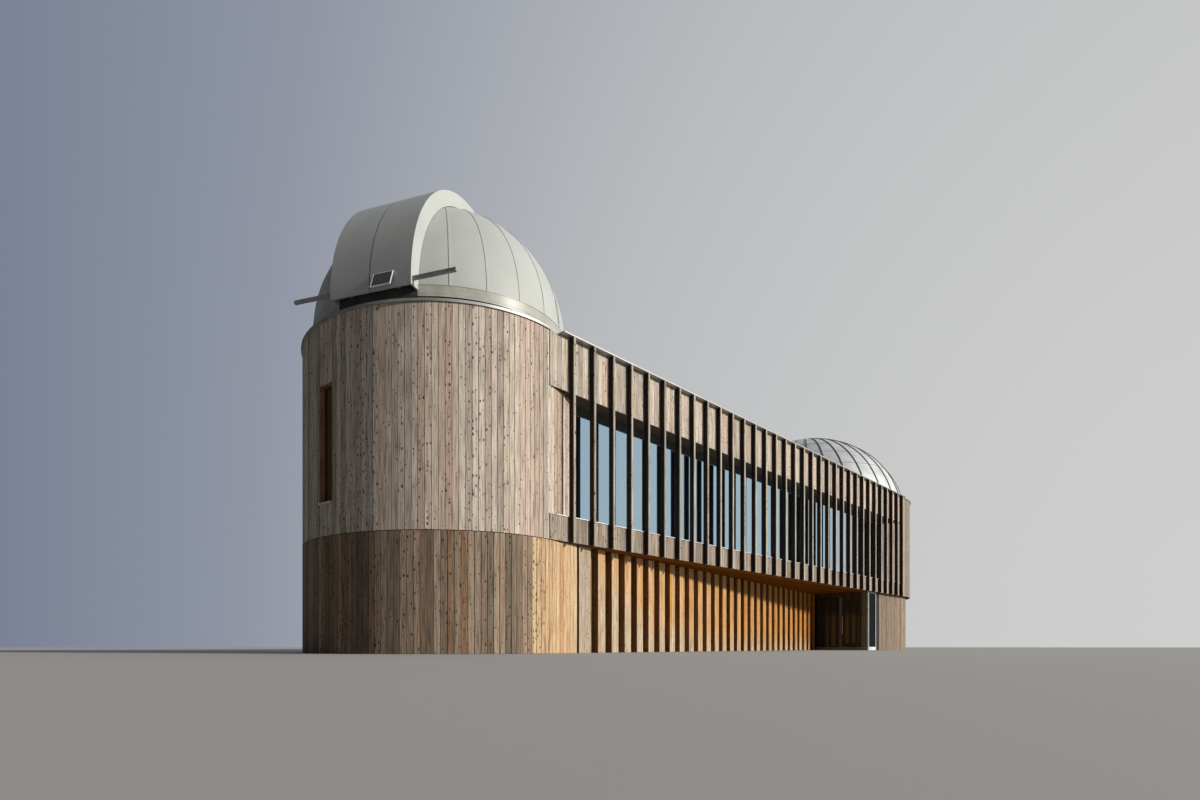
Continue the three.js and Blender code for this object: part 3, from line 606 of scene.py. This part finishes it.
batten_middles = BATTENS.first + BATTENS.pitch * np.arange(BATTENS.count)
batten_third = BATTENS.width / 3
thirds = (batten_middles[:, None] + np.array([-1, 0, 1]) * batten_third).ravel()
closed_middles, closed_steps = board_run(4 * CLEAR, CLOSED_END)
broad_middles, broad_steps = board_run(*BROAD, BROAD_PITCH)
stations = np.concatenate([closed_middles, broad_middles, thirds])
widths = np.concatenate([closed_steps - JOINT, broad_steps - JOINT,
                         0 * thirds + batten_third - BATTEN_JOINT])
spread = chance.uniform(0, 1, len(stations))
tone = np.where(stations < CLOSED_END, HONEY_TONES + (1 - HONEY_TONES) * spread,
                np.where(stations < BROAD[1], PLAIN_TONES, BLEACHED_TONES * spread))
past_start = ((stations - WEATHER_LINE.start) / WEATHER_LINE.fade).clip(0)
weather_line = WEATHER_LINE.far + WEATHER_LINE.rise * np.exp(-past_start)
weather_line = weather_line + chance.normal(0, WEATHER_LINE.spread, len(stations))
weather_line = np.where(stations < BROAD[1], WEATHER_LINE.broad, weather_line)
dry_tone = DRY_TONE.start + DRY_TONE.rise * stations / WALL_END
dry_tone = (dry_tone + chance.normal(0, DRY_TONE.spread, len(stations))).clip(0, 1)
place(straight_row("batten_wall_boards", "battens", stations, WALL_FACE, BOARD_LEVELS["lower"], widths,
                   play=BATTEN_PLAY, own=(tone, dry_tone, weather_line)),
      batten_larch, "fresh_larch", "batten_wall")
recess_middles, recess_steps = board_run(BROAD[1] + 2 * CLEAR, WALL_END - 4 * CLEAR)
place(straight_row("batten_wall_recess_boards", "battens", recess_middles, RECESS_FACE,
                   BOARD_LEVELS["lower"], recess_steps - BATTEN_JOINT, play=BATTEN_PLAY),
      recess_larch_painted_shade, "fresh_larch")
box_face = WALL_FACE - BOARD_THICKNESS - 2 * CLEAR
place(straight_row("batten_boxes", "battens", batten_middles, box_face, BOARD_LEVELS["lower"],
                   BATTENS.width - 6 * CLEAR, box_face - RECESS_FACE - CLEAR),
      recess_larch_painted_shade, "fresh_larch")
core_edges = np.array([3 * CLEAR, CLOSED_END, *BROAD, WALL_END - 3 * CLEAR])
core_faces = np.array([box_face, WALL_FACE - GROOVE_DEPTH, box_face, box_face - WALL_FACE + RECESS_FACE])
place(straight_row("batten_wall_core", "battens", (core_edges[1:] + core_edges[:-1]) / 2, core_faces,
                   CORE_LEVELS["lower"], np.diff(core_edges) - 4 * CLEAR,
                   core_faces - WALL_BACK - 2 * CLEAR), backing, "dark_timber")


# Plain boarded walls of the lower storey: a short one beside the sidelight at the front, and a long one
# along the rear. Everything at the rear mirrors the front about the line between the drums' centres.
LOWER_FACE = NEAR_RADIUS - INSET
PAINTED_SHADE_BOARDS = (23.052, 23.48)
REAR_START = 1.145
GREY_TONES = 0.66
lower_end = FAR_CENTRE[0] - 2 * CLEAR
for side, core_start, boards_start in (("front", *PAINTED_SHADE_BOARDS), ("rear", REAR_START, REAR_START)):
    middles, steps = board_run(boards_start, lower_end)
    place(straight_row(f"lower_{side}_wall_boards", side, middles, LOWER_FACE, BOARD_LEVELS["lower"],
                       steps - JOINT, play=PLAY, own=[chance.uniform(0, GREY_TONES, len(steps))]),
          lower_larch, "weathered_larch", f"lower_{side}_wall")
    core_size = (lower_end - core_start, WALL - BOARD_THICKNESS - 4 * CLEAR)
    place(straight_row(f"lower_{side}_wall_core", side, [(core_start + lower_end) / 2],
                       LOWER_FACE - BOARD_THICKNESS - 2 * CLEAR, CORE_LEVELS["lower"], *core_size),
          backing, "dark_timber")


# Ceiling: larch strips run along the building under the upper floor and show from below wherever the
# upper storey overhangs. They have never been rained on and are still orange. Their tones are darkened
# and saturated to paint the shade and the orange bounce light under the overhang.
CEILING_LEVEL = 2.66
STRIP = Sizes(pitch=0.145, joint=0.006, thickness=0.024, shortest=0.3, off_wall=0.05)
BAND_BACK = 3.3497
BESIDE_NEAR = 2.683
BESIDE_FAR = (-2.67, 5.6)


def half_chord(radius, offset):
    """Half the length of a circle's chord at an offset from its centre: the root of R² - offset²."""
    return np.sqrt(np.maximum(radius ** 2 - offset ** 2, 0))


def strip_ends(y):
    """Where a strip at y starts and ends. It starts at the observatory drum: at the drum's outer circle
    where the strip lies beside the drum, or at its inner one, and never beyond the rear facade's band.
    It ends in the same way at the planetarium drum."""
    start = np.where(np.abs(y) > BESIDE_NEAR, half_chord(NEAR_RADIUS + 2 * CLEAR, y),
                     -half_chord(NEAR_RADIUS - WALL - 2 * CLEAR, y))
    start = np.maximum(start, (y * math.cos(TAPER) - BAND_BACK) / math.sin(TAPER))
    offset = y - FAR_CENTRE[1]
    beside = (y < BESIDE_FAR[0]) | (y > BESIDE_FAR[1])
    reach = np.where(beside, -half_chord(FAR_RADIUS + 2 * CLEAR, offset),
                     half_chord(FAR_RADIUS - WALL - 2 * CLEAR, offset))
    return np.array([start, FAR_CENTRE[0] + reach])


last_y = FAR_CENTRE[1] + FAR_RADIUS - WALL - STRIP.off_wall
strip_y, strip_steps = board_run(-BAND_BACK, last_y, STRIP.pitch)
strip_span = strip_steps - STRIP.joint
left = strip_ends(strip_y + strip_span / 2)
right = strip_ends(strip_y - strip_span / 2)
fits = np.minimum(left[1] - left[0], right[1] - right[0]) > STRIP.shortest
foot, head = (np.stack([x, strip_y, 0 * x + CEILING_LEVEL], axis=-1)[fits] for x in (left + right) / 2)
place(boards("ceiling_strips", foot, head, np.array([0, 1, 0]), -UP, strip_span[fits], STRIP.thickness,
             slope=((left - right) / strip_span).T[fits]),
      fresh_larch, "fresh_larch", "ceiling_boards")


# Porch: stained larch posts and head beam carry a fixed glazed bay and one glazed door leaf with a round
# bar handle. A narrow sidelight in an anodised frame faces the sun. The near-black boards beside it are
# painted shade of the recess there, and its near-black glass is painted shade of the unlit room behind.
HANDLE = Sizes(x=22.1, y=-2.175, levels=(0.75, 1.55), stands_off=0.06, radius=0.014)
black_coat = metal("black powder coated aluminium", "#211f1d", "#191715", (0.4, 0.55), 0.2)
dress(larch("brown stained larch", [(0.0, "#4b3a2c"), (0.5, "#5f4a37"), (1.0, "#554232")], "#8f7a66",
            "#241910", flat=False), "porch_head_beam", "porch_door_frame")
dress(larch("grey brown stained larch", [(0.0, "#7d776b"), (1.0, "#8c8475")], "#a89e90", "#4b4338",
            flat=False), "porch_corner_post", "porch_mid_post")
dress(black_coat, "porch_window_frame")
dress(anodised, "sidelight_frame")
dress(glass("clear glass over a dark room", "#3f3a2d", 1.42), "porch_window_glass", "porch_door_glass")
# The sidelight's opaque near-black colour is painted shade of the unlit room behind it.
dress(glass("glass over an unlit room painted near black", "#0c0f11", 1.05), "sidelight_glass")
# Near-black boards beside the sidelight: painted shade.
middles, steps = board_run(*PAINTED_SHADE_BOARDS)
place(straight_row("sidelight_painted_shade_boards", "front", middles, LOWER_FACE, BOARD_LEVELS["lower"],
                   steps - JOINT),
      larch("near black larch as painted shade", [(0.0, "#2b221c"), (1.0, "#3a2e25")], "#8f7a66", "#17110d"),
      "dark_timber")

handle_x = HANDLE.x - HANDLE.stands_off * np.array([0, 1, 1, 0])
handle_path = np.stack([handle_x, 0 * handle_x + HANDLE.y, np.repeat(HANDLE.levels, 2)], axis=-1)
handle_side = [[[0, 0, 1], [-1, 0, 1], [1, 0, 1], [0, 0, 1]]]
handle_ring = on_circle(HANDLE.radius, np.arange(0, 360, 30))[:, :2]
place(swept("porch_door_handle", handle_path[None], handle_side, [0, 1, 0], handle_ring, crease=40),
      anodised, "bright_aluminium", body="porch_door")


# Facades: larch boards on the sill and lintel bands, five to a bay, with 33 upright fins in front. A fin
# is a board on edge with a narrow weathered board nailed to its front. The board on edge is near black,
# partly from a dark stain and partly as painted shade of the fins' shaded sides. The front boards are
# paler further along the building.
FIN = Sizes(count=33, first=1.134, pitch=0.77315, width=0.072, face=3.65, foot=2.64)
BAND_ENDS = (0.42, 26.28)
SILL_ENDS = (0.62, 26.1)
SILL_TOP = 3.272
LINTEL_BOTTOM = 6.25
WALL_TOP = 7.54
PANEL_THICKNESS = 0.024
CAP_THICKNESS = 0.022
CAP_TONES = 0.14
CAP_PALING = 0.8
FIN_FOOT_GAP = 0.012
BOARDS_PER_BAY = 5
NARROWEST_BOARD = 0.03
WINDOW_SILL = [[3.52, 0.001], [3.52, -0.014], [3.523, -0.014], [3.523, 0.005], [3.003, 0.012],
               [3.003, 0.001]]
panel_levels = {
    "sill": (CEILING_LEVEL + 3 * CLEAR, SILL_TOP - 2 * CLEAR),
    "lintel": (LINTEL_BOTTOM + 3 * CLEAR, WALL_TOP - 3 * CLEAR),
}
fin_levels = (FIN.foot, WALL_TOP - CLEAR)
core_face = FIN.face - CAP_THICKNESS - CLEAR
fin_x = FIN.first + FIN.pitch * np.arange(FIN.count)
fin_share = np.linspace(0, 1, FIN.count)
board_edges = FIN.first + FIN.pitch / BOARDS_PER_BAY * np.arange(-4, BOARDS_PER_BAY * FIN.count - 2)
board_edges = board_edges[board_edges < BAND_ENDS[1] - NARROWEST_BOARD]
board_edges = [BAND_ENDS[0], *board_edges, BAND_ENDS[1]]
panel_x = (np.array(board_edges[1:]) + board_edges[:-1]) / 2
panel_width = np.diff(board_edges) - 5 * CLEAR

coping_metal = metal("weathered coping aluminium", "#b0b1ae", "#9fa09d", (0.45, 0.6), 0.4, metallic=0.6)
coated_glass = glass("solar control glass", "#bfdcee")
# The fins' near-black brown is partly a dark stain and partly painted shade for their shaded sides.
fins_dark_stain_and_painted_shade = larch("dark stained larch", [(0.0, "#231d19"), (0.5, "#2c241e"), (1.0, "#352821")],
                  "#8f7a66", "#17110d")
# The linings' near-black brown is painted shade for the soffit under the lintel band.
lining_larch_painted_shade = larch("larch lining darkened as painted shade", [(0.0, "#463121"), (0.5, "#573d27"), (1.0, "#4c3523")],
                     "#a08468", "#20160e", flat=False)
for side in ("front", "rear"):
    for band, material, screen in (("sill", greyed_larch, [f"{side}_fin_screen"]),
                                   ("lintel", weathered_larch, [])):
        place(straight_row(f"{side}_{band}_boards", side, panel_x, NEAR_RADIUS, panel_levels[band],
                           panel_width, PANEL_THICKNESS), material, "weathered_larch", *screen)
    # The caps are paler further along the building.
    place(straight_row(f"{side}_fin_caps", side, fin_x, FIN.face, fin_levels, FIN.width, CAP_THICKNESS,
                       own=[chance.uniform(0, CAP_TONES, len(fin_x)) + CAP_PALING * fin_share ** 2]),
          weathered_larch, "weathered_larch")
    place(straight_row(f"{side}_fins", side, fin_x, core_face, (fin_levels[0] + FIN_FOOT_GAP, fin_levels[1]),
                       FIN.width - 6 * CLEAR, core_face - NEAR_RADIUS - CLEAR), fins_dark_stain_and_painted_shade, "dark_timber")
    sill_path = on_line(side, SILL_ENDS, 0, SILL_TOP)[None]
    place(swept(f"{side}_window_sill", sill_path, LINES[side][1], UP, WINDOW_SILL), anodised,
          "bright_aluminium")
    dress(lining_larch_painted_shade, f"{side}_sill_band", f"{side}_lintel_band", f"{side}_lintel_band_end")
    dress(black_coat, f"{side}_window_frame")
    dress(coated_glass, f"{side}_window_glass")
    dress(coping_metal, f"{side}_roof_edge")


# Copings: folded aluminium sheet caps the two drum walls, with a turned-down lip that stands clear of the
# boards and a slight fall towards the roof. The section is given as distance from the boards and level.
COPING_SECTION = np.array([[-0.26, 7.5403], [0.023, 7.5403], [0.023, 7.5383], [0.035, 7.5383],
                           [0.035, 7.596], [0.031, 7.6], [-0.26, 7.588]])
for drum, radius, arc in (("observatory", NEAR_RADIUS, near_arc), ("planetarium", FAR_RADIUS, far_arc)):
    cad_name, centre = DRUMS[drum]
    place(turned(f"{drum}_drum_coping", COPING_SECTION + (radius, 0), [arc], centre, 180), coping_metal,
          "coping_metal", f"{cad_name}_coping")


# Planetarium dome: a fixed dome clad in pale aluminium sheets. 32 grey cover strips run up over their
# joints to a flat crown cap, and thin welts join the sheets crosswise at three heights.
BIG_DOME = Sizes(radius=4.865, level=6.562, sheet=0.1, foot=7.3003, seams=32, first_seam=-155.2)
SEAM_SECTION = [[-0.025, -0.006], [0.025, -0.006], [0.018, 0.035], [-0.018, 0.035]]
SEAM_OFF_FOOT = 0.03
SEAM_TOP = math.radians(81)
WELT_SECTION = [[-0.012, -0.004], [0.012, -0.004], [0.012, 0.006], [-0.012, 0.006]]
WELT_CLIMBS = np.radians([[34], [45], [56]])
CROWN_SECTION = [[0.0, 11.4], [0.78, 11.35], [0.78, 11.404], [0.74, 11.416], [0.0, 11.4268]]
white_metal = metal("pale coated standing seam aluminium", "#dfe1df", "#c9cbc9", (0.38, 0.55), 0.8,
                    0.0006, 0.35)
strip_metal = metal("grey coated cover strips", "#8b8f8f", "#7b7f80", (0.45, 0.6), 0.4, metallic=0.4)


def dome_profile(radius, level, foot, count=40):
    """Quarter arc from the foot to the crown, as radius and level."""
    angles = np.linspace(math.asin((foot - level) / radius), math.pi / 2, count)
    return np.stack([radius * np.cos(angles), level + radius * np.sin(angles)], axis=-1)


def meridians(dome, azimuths, low, high, stations=28):
    """Paths up a dome at given azimuths, with their sideways and outward directions."""
    azimuths = np.radians(azimuths)[:, None]
    climb = low + (high - low) * np.linspace(0, 1, stations)[None]
    outward = outward_at(climb, azimuths)
    sideways = outward_at(0 * climb, azimuths + math.pi / 2)
    return dome.radius * outward + dome.level * UP, sideways, outward


outside, inside = (dome_profile(BIG_DOME.radius - sheet, BIG_DOME.level, BIG_DOME.foot)
                   for sheet in (0, BIG_DOME.sheet))
place(turned("planetarium_dome_sheets", np.concatenate([outside, inside[::-1]]), centre=FAR_CENTRE),
      white_metal, "dome_white", "planetarium_dome")
seam_azimuths = BIG_DOME.first_seam + 360 / BIG_DOME.seams * np.arange(BIG_DOME.seams)
seam_foot = math.asin((BIG_DOME.foot + SEAM_OFF_FOOT - BIG_DOME.level) / BIG_DOME.radius)
path, sideways, outward = meridians(BIG_DOME, seam_azimuths, seam_foot, SEAM_TOP)
place(swept("planetarium_dome_seams", path + FAR_CENTRE, sideways, outward, SEAM_SECTION, crease=40),
      strip_metal, "dome_white")
welt_turn = np.radians(np.linspace(0, 360, 128, endpoint=False))
welt_out = outward_at(WELT_CLIMBS, welt_turn)
welt_path = BIG_DOME.radius * welt_out + BIG_DOME.level * UP + FAR_CENTRE
place(swept("planetarium_dome_welts", welt_path, outward_at(WELT_CLIMBS + math.pi / 2, welt_turn), welt_out,
            WELT_SECTION, closed=True, crease=40), strip_metal, "dome_white")
place(turned("planetarium_dome_crown", CROWN_SECTION, centre=FAR_CENTRE, stations=48), white_metal,
      "dome_white")


# Observatory dome, fixed part: a welded steel base ring stands on the roof and carries the dome's track.
# It is painted dark grey, and its web lies back between a foot flange and a top flange.
RING_SECTION = [[3.0, 7.3003], [3.2, 7.3003], [3.2, 7.35], [3.15, 7.36], [3.15, 7.77], [3.2, 7.78],
                [3.2, 7.8], [3.0, 7.8]]
dark_steel = metal("painted dark grey steel", "#4c4e4e", "#3c3e3e", (0.45, 0.6), 0.3, metallic=0.2)
place(turned("observatory_dome_ring", RING_SECTION), dark_steel, "dark_steel", "dome_base_ring")


# Observatory dome, turning part: a rolled skirt with a bead and a drip strip, and a shell of pressed
# aluminium gores lapped on thin ribs every 15 degrees, spray painted light grey green. The slit is open
# from the skirt to past the top, over the galvanised rail of the shutters. A dark steel plate across its
# foot paints the shade under the hood.
DOME = Sizes(radius=3.255, level=7.942, sheet=0.06, foot=8.0203, slit=-155.4, slit_half=0.95,
             slit_back=-1.25)
SKIRT_SECTIONS = {
    "band": [[3.04, 7.8005], [3.215, 7.8005], [3.215, 7.8155], [3.266, 7.8155], [3.27, 7.8195],
             [3.27, 8.014], [3.264, 8.02], [3.19, 8.02], [3.19, 7.8405], [3.04, 7.8405]],
    "bead": [[3.262, 8.004], [3.277, 8.006], [3.277, 8.016], [3.262, 8.0205]],
    "drip": [[3.25, 7.765], [3.2685, 7.765], [3.2685, 7.8152], [3.25, 7.8152]],
}
SHADE_APRON = Sizes(radii=(3.2695, 3.2745), half=17.8, levels=(7.762, 8.003))
RIB_SECTION = [[-0.022, -0.003], [0.022, -0.003], [0.019, 0.010], [-0.019, 0.010]]
RIB_GAP = 0.03
SHORTEST_RIB = math.radians(12)
dome_paint = metal("satin light grey paint on aluminium", "#b9bcb7", "#b1b4af", (0.5, 0.6), 1.2, 0.0008,
                   specular=0.3)
skirt_paint = metal("rain stained light grey paint", "#b0b0a6", "#a09f94", (0.32, 0.42), 0.3, 0.0004,
                    specular=0.4)
rail_steel = metal("galvanised steel rail", "#a4a7a5", "#8f9291", (0.45, 0.6), 0.15, metallic=0.2)
slit_out = on_circle(1.0, DOME.slit)
TO_DOME = np.array([slit_out, np.cross(UP, slit_out), UP])


def shell(name, outer, inner, keep=None, crease=30):
    """A closed sheet between two grids of points of one shape. keep says which cells of the grid stand,
    so that a sheet can have an opening; a rim joins the two grids round every edge."""
    rows, columns = outer.shape[:2]
    keep = np.ones((rows - 1, columns - 1), dtype=bool) if keep is None else keep
    number = np.arange(rows * columns).reshape(rows, columns)
    cells = np.stack([number[:-1, :-1], number[1:, :-1], number[1:, 1:], number[:-1, 1:]], axis=-1)
    padded = np.pad(keep, 1)
    beside_rows = padded[1:, 1:-1] != padded[:-1, 1:-1]
    beside_columns = padded[1:-1, 1:] != padded[1:-1, :-1]
    edges = np.concatenate([
        np.stack([number[:, :-1], number[:, 1:]], axis=-1)[beside_rows],
        np.stack([number[:-1], number[1:]], axis=-1)[beside_columns],
    ])
    far = rows * columns
    rim = np.concatenate([edges, edges[:, ::-1] + far], axis=1)
    faces = np.concatenate([cells[keep], cells[keep][:, ::-1] + far, rim])
    points = np.concatenate([outer.reshape(-1, 3), inner.reshape(-1, 3)])
    used = np.zeros(len(points), dtype=bool)
    used[faces.ravel()] = True
    renumber = np.cumsum(used) - 1
    return add_mesh(name, points[used], renumber[faces].tolist(), weld=True, crease=crease)


def shell_grid(radius, columns, front_steps, back_steps):
    """Slices across the dome: at each y, an arc of radius root(R² - y²) in the upright plane along the
    slit, from the foot in front, over the top, to the foot at the back. One row of every slice lies at
    the slit's back end."""
    slit_half, rise = DOME.slit_half, DOME.foot - DOME.level
    widest = math.sqrt(radius ** 2 - rise ** 2)
    beyond = (np.abs(columns) - slit_half) / (1 - slit_half)
    y = np.where(np.abs(columns) <= slit_half, columns,
                 np.sign(columns) * (slit_half + beyond * (widest - slit_half)))
    slice_radius = np.sqrt(np.maximum(radius ** 2 - y ** 2, 1e-12))
    foot = np.arcsin(np.clip(rise / slice_radius, -1, 1))
    end = np.arccos(DOME.slit_back / np.sqrt(radius ** 2 - np.minimum(np.abs(y), slit_half) ** 2))
    end = np.clip(end, foot, math.pi - foot)
    front = foot[:, None] + (end - foot)[:, None] * front_steps
    back = end[:, None] + (math.pi - foot - end)[:, None] * back_steps[1:]
    angle = np.concatenate([front, back], axis=1)
    arc = slice_radius[:, None]
    return np.stack([arc * np.cos(angle), np.broadcast_to(y[:, None], angle.shape),
                     DOME.level + arc * np.sin(angle)], axis=-1)


for part, section in SKIRT_SECTIONS.items():
    place(turned(f"observatory_dome_skirt_{part}", section), skirt_paint, "dome_metal",
          *["dome_skirt"] * (part == "band"), body="dome")
# Dark plate across the slit's foot under the hood: painted shade.
shade_apron_run = (DOME.slit - SHADE_APRON.half, DOME.slit + SHADE_APRON.half, *SHADE_APRON.levels)
place(round_wall("observatory_dome_painted_shade_apron", *SHADE_APRON.radii, (0, 0, 0), [shade_apron_run]), dark_steel,
      "dark_steel", body="dome")
dress(rail_steel, "dome_front_rail")

beyond_slit = 1 - (1 - DOME.slit_half) * np.cos(np.linspace(0.06, 1, 30) * math.pi / 2)
half_columns = np.concatenate([np.linspace(0, DOME.slit_half, 9), beyond_slit])
columns = np.concatenate([-half_columns[:0:-1], half_columns])
front_steps, back_steps = np.linspace(0, 1, 49), np.linspace(0, 1, 33)
grids = [shell_grid(DOME.radius - sheet, columns, front_steps, back_steps) @ TO_DOME
         for sheet in (0, DOME.sheet)]
beside_slit = np.abs((columns[1:] + columns[:-1]) / 2) > DOME.slit_half
behind_slit = np.arange(len(front_steps) + len(back_steps) - 2) >= len(front_steps) - 1
place(shell("observatory_dome_gores", *grids, beside_slit[:, None] | behind_slit[None]),
      dome_paint, "dome_metal", "dome_shell", body="dome")

rib_azimuths = np.arange(-180, 180, 15.0)
rib_foot = math.asin((DOME.foot + 2 * CLEAR - DOME.level) / DOME.radius)
rib_x, rib_y, _ = DOME.radius * on_circle(1.0, rib_azimuths).T
slit_top = np.arccos(np.clip((DOME.slit_half + RIB_GAP) / np.maximum(np.abs(rib_y), 1e-6), 0, 1))
back_top = np.arccos(np.clip((-DOME.slit_back + RIB_GAP) / np.maximum(-rib_x, 1e-6), 0, 1))
rib_top = np.maximum(slit_top, np.where(rib_x < 0, back_top, 0))
long_enough = rib_top > SHORTEST_RIB
path, sideways, outward = meridians(DOME, rib_azimuths[long_enough], rib_foot, rib_top[long_enough][:, None])
place(swept("observatory_dome_ribs", path @ TO_DOME, sideways @ TO_DOME, outward @ TO_DOME, RIB_SECTION,
            crease=50), dome_paint, "dome_metal", body="dome")


# Hood shutters: two halves of a rolled hood close the slit and slide apart on the front rail. Each is a
# rolled sheet with a rubber seal at the seam, and with a crescent side plate, notched for the rail, and an
# end plate that follow the dome a finger's width off.
HOOD = Sizes(radius=3.317, sheet=0.05, x=0.126, level=8.009, half=1.016, foot=7.88, end=117.0, seam=0.004,
             side=0.04, off_shell=0.017, off_skirt=3.284, skirt_level=8.028)
NOTCH = Sizes(x=3.308, levels=(7.982, 8.066))
SEAL_SECTION = [[0.0, -0.01], [0.008, -0.01], [0.008, 0.002], [0.0, 0.002]]
seal_rubber = metal("grey rubber seal", "#858784", "#757775", (0.6, 0.75), 0.1)


def hood_point(angle, radius, y):
    """A point of the hood in the dome's own frame, from its angle and radius about the hood's axis."""
    angle, radius, y = np.broadcast_arrays(angle, radius, y)
    return np.stack([HOOD.x + radius * np.cos(angle), y, HOOD.level + radius * np.sin(angle)], axis=-1)


def clear_radius(angle, y):
    """Distance from the hood's axis, at an angle, to the sphere just outside the dome's shell, or to the
    upright cylinder just outside its skirt where that is lower down."""
    rise = HOOD.level - DOME.level
    middle = HOOD.x * np.cos(angle) + rise * np.sin(angle)
    rest = HOOD.x ** 2 + rise ** 2 + y ** 2 - (DOME.radius + HOOD.off_shell) ** 2
    past_shell = -middle + np.sqrt(middle ** 2 - rest)
    past_skirt = (np.sqrt(HOOD.off_skirt ** 2 - y ** 2) - HOOD.x) / np.maximum(np.cos(angle), 1e-3)
    beside_skirt = HOOD.level + past_shell * np.sin(angle) < HOOD.skirt_level
    return np.where(beside_skirt, np.maximum(past_shell, past_skirt), past_shell)


foot_angle = math.asin((HOOD.foot - HOOD.level) / HOOD.radius)
end_angle = math.radians(HOOD.end)
notch_reach = NOTCH.x - HOOD.x
notch_low, notch_high = (math.asin((level - HOOD.level) / notch_reach) for level in NOTCH.levels)
plate_angles = np.concatenate([[foot_angle, notch_low - 1e-4, notch_low, notch_high, notch_high + 1e-4],
                               np.linspace(notch_high + 0.02, end_angle, 70)])
in_notch = (plate_angles >= notch_low) & (plate_angles <= notch_high)
plate_radii = [clear_radius(plate_angles, HOOD.half),
               np.where(in_notch, notch_reach / np.cos(plate_angles), HOOD.radius - 2 * CLEAR)]
plate_y = (HOOD.half + CLEAR, HOOD.half - HOOD.side)
sheet_angles = np.linspace(foot_angle, end_angle, 72)
sheet_y = np.linspace(HOOD.seam, HOOD.half, 7)[:, None]
sheet_radii = (HOOD.radius, HOOD.radius - HOOD.sheet)
end_angles = (end_angle + 0.0005, end_angle - HOOD.sheet / HOOD.radius)
end_y = np.linspace(HOOD.seam, HOOD.half, 12)
seal_angles = np.linspace(foot_angle, end_angle, 60)
plates = {
    "sheet": [hood_point(sheet_angles, radius, sheet_y) for radius in sheet_radii],
    "side_plate": [hood_point(plate_angles, plate_radii, y) for y in plate_y],
    "end_plate": [hood_point(angle, [clear_radius(angle, end_y), 0 * end_y + HOOD.radius - CLEAR], end_y)
                  for angle in end_angles],
}
for side, sign in (("right", 1), ("left", -1)):
    body = f"{side}_shutter"
    to_shutter = np.diag([1, sign, 1]) @ TO_DOME
    for part, grids in plates.items():
        place(shell(f"hood_{side}_{part}", *(grid @ to_shutter for grid in grids)), dome_paint, "dome_metal",
              *[f"shutter_{side}"] * (part == "sheet"), body=body)
    seal_path = hood_point(seal_angles, HOOD.radius, HOOD.seam)[None] @ to_shutter
    seal_up = outward_at(seal_angles, 0)[None] @ to_shutter
    place(swept(f"hood_{side}_seal", seal_path, np.array([0, 1, 0]) @ to_shutter, seal_up, SEAL_SECTION,
                crease=50), seal_rubber, "dark_steel", body=body)


# Solar panel: dark silicon cells behind glass in an anodised frame, leaning back on two flat struts
# that are screwed to the right shutter.
PANEL = Sizes(x=3.61, y=(0.1, 0.6), levels=(7.88, 8.23), lean=0.4, bar=0.024, bar_depth=0.026,
              cells_behind=0.004, cell_depth=0.008)
STRUT = Sizes(x=3.442, level=8.064, run=(0.064, 0, -0.004), inset=0.11, width=0.03, thickness=0.006)
cells, add, shader = new_material("silicon cells under glass")
cell_grid = add("TexBrick", {
    "Vector": add("TexCoord", {}, "UV"), "Color1": linear("#474846"), "Color2": linear("#4f504d"),
    "Mortar": linear("#7d7e7b"), "Scale": 1.0, "Mortar Size": 0.0025, "Brick Width": 0.075,
    "Row Height": 0.075,
}, offset=0.0)
set_inputs(shader, {"Base Color": cell_grid, "Roughness": 0.3, "Specular IOR Level": 0.3})

panel_rise = PANEL.levels[1] - PANEL.levels[0]
face_low = np.array([PANEL.x, 0, PANEL.levels[0]])
face_high = face_low + [-panel_rise * PANEL.lean, 0, panel_rise]
panel_up = (face_high - face_low) / np.linalg.norm(face_high - face_low)
ACROSS = np.array([0.0, 1.0, 0.0])
panel_out = np.cross(ACROSS, panel_up)
bar = PANEL.bar


def panel_part(name, feet, heads, across, out, width, thickness, *look):
    """Places bars or plates of the panel, which are given in the dome's own frame."""
    in_place = [np.asarray(value, dtype=float) @ TO_DOME for value in (feet, heads, across, out)]
    place(boards(name, *in_place, width, thickness), *look, body="right_shutter")


def on_panel(y, edge, climb=0.0, behind=0.0):
    """A point at y of the panel's face, a climb above its foot or top edge and a bit behind the face."""
    return edge + panel_up * climb - panel_out * behind + [0, y, 0]


y0, y1 = PANEL.y
bar_feet = [on_panel(y0 + bar / 2, face_low), on_panel(y1 - bar / 2, face_low),
            on_panel(y0 + bar, face_low, bar / 2), on_panel(y0 + bar, face_high, -bar / 2)]
bar_heads = [on_panel(y0 + bar / 2, face_high), on_panel(y1 - bar / 2, face_high),
             on_panel(y1 - bar, face_low, bar / 2), on_panel(y1 - bar, face_high, -bar / 2)]
panel_part("solar_panel_frame", bar_feet, bar_heads, [ACROSS, ACROSS, panel_up, panel_up], panel_out,
           bar, PANEL.bar_depth, anodised, "bright_aluminium", "solar_panel")
panel_part("solar_panel_cells", [on_panel((y0 + y1) / 2, face_low, bar, PANEL.cells_behind)],
           [on_panel((y0 + y1) / 2, face_high, -bar, PANEL.cells_behind)], [ACROSS], panel_out,
           y1 - y0 - 2 * bar, PANEL.cell_depth, cells, "glazing")
strut_starts = np.array([[STRUT.x, y, STRUT.level] for y in (y0 + STRUT.inset, y1 - STRUT.inset)])
panel_part("solar_panel_struts", strut_starts, strut_starts + STRUT.run, [ACROSS], [UP], STRUT.width,
           STRUT.thickness, anodised, "bright_aluminium")
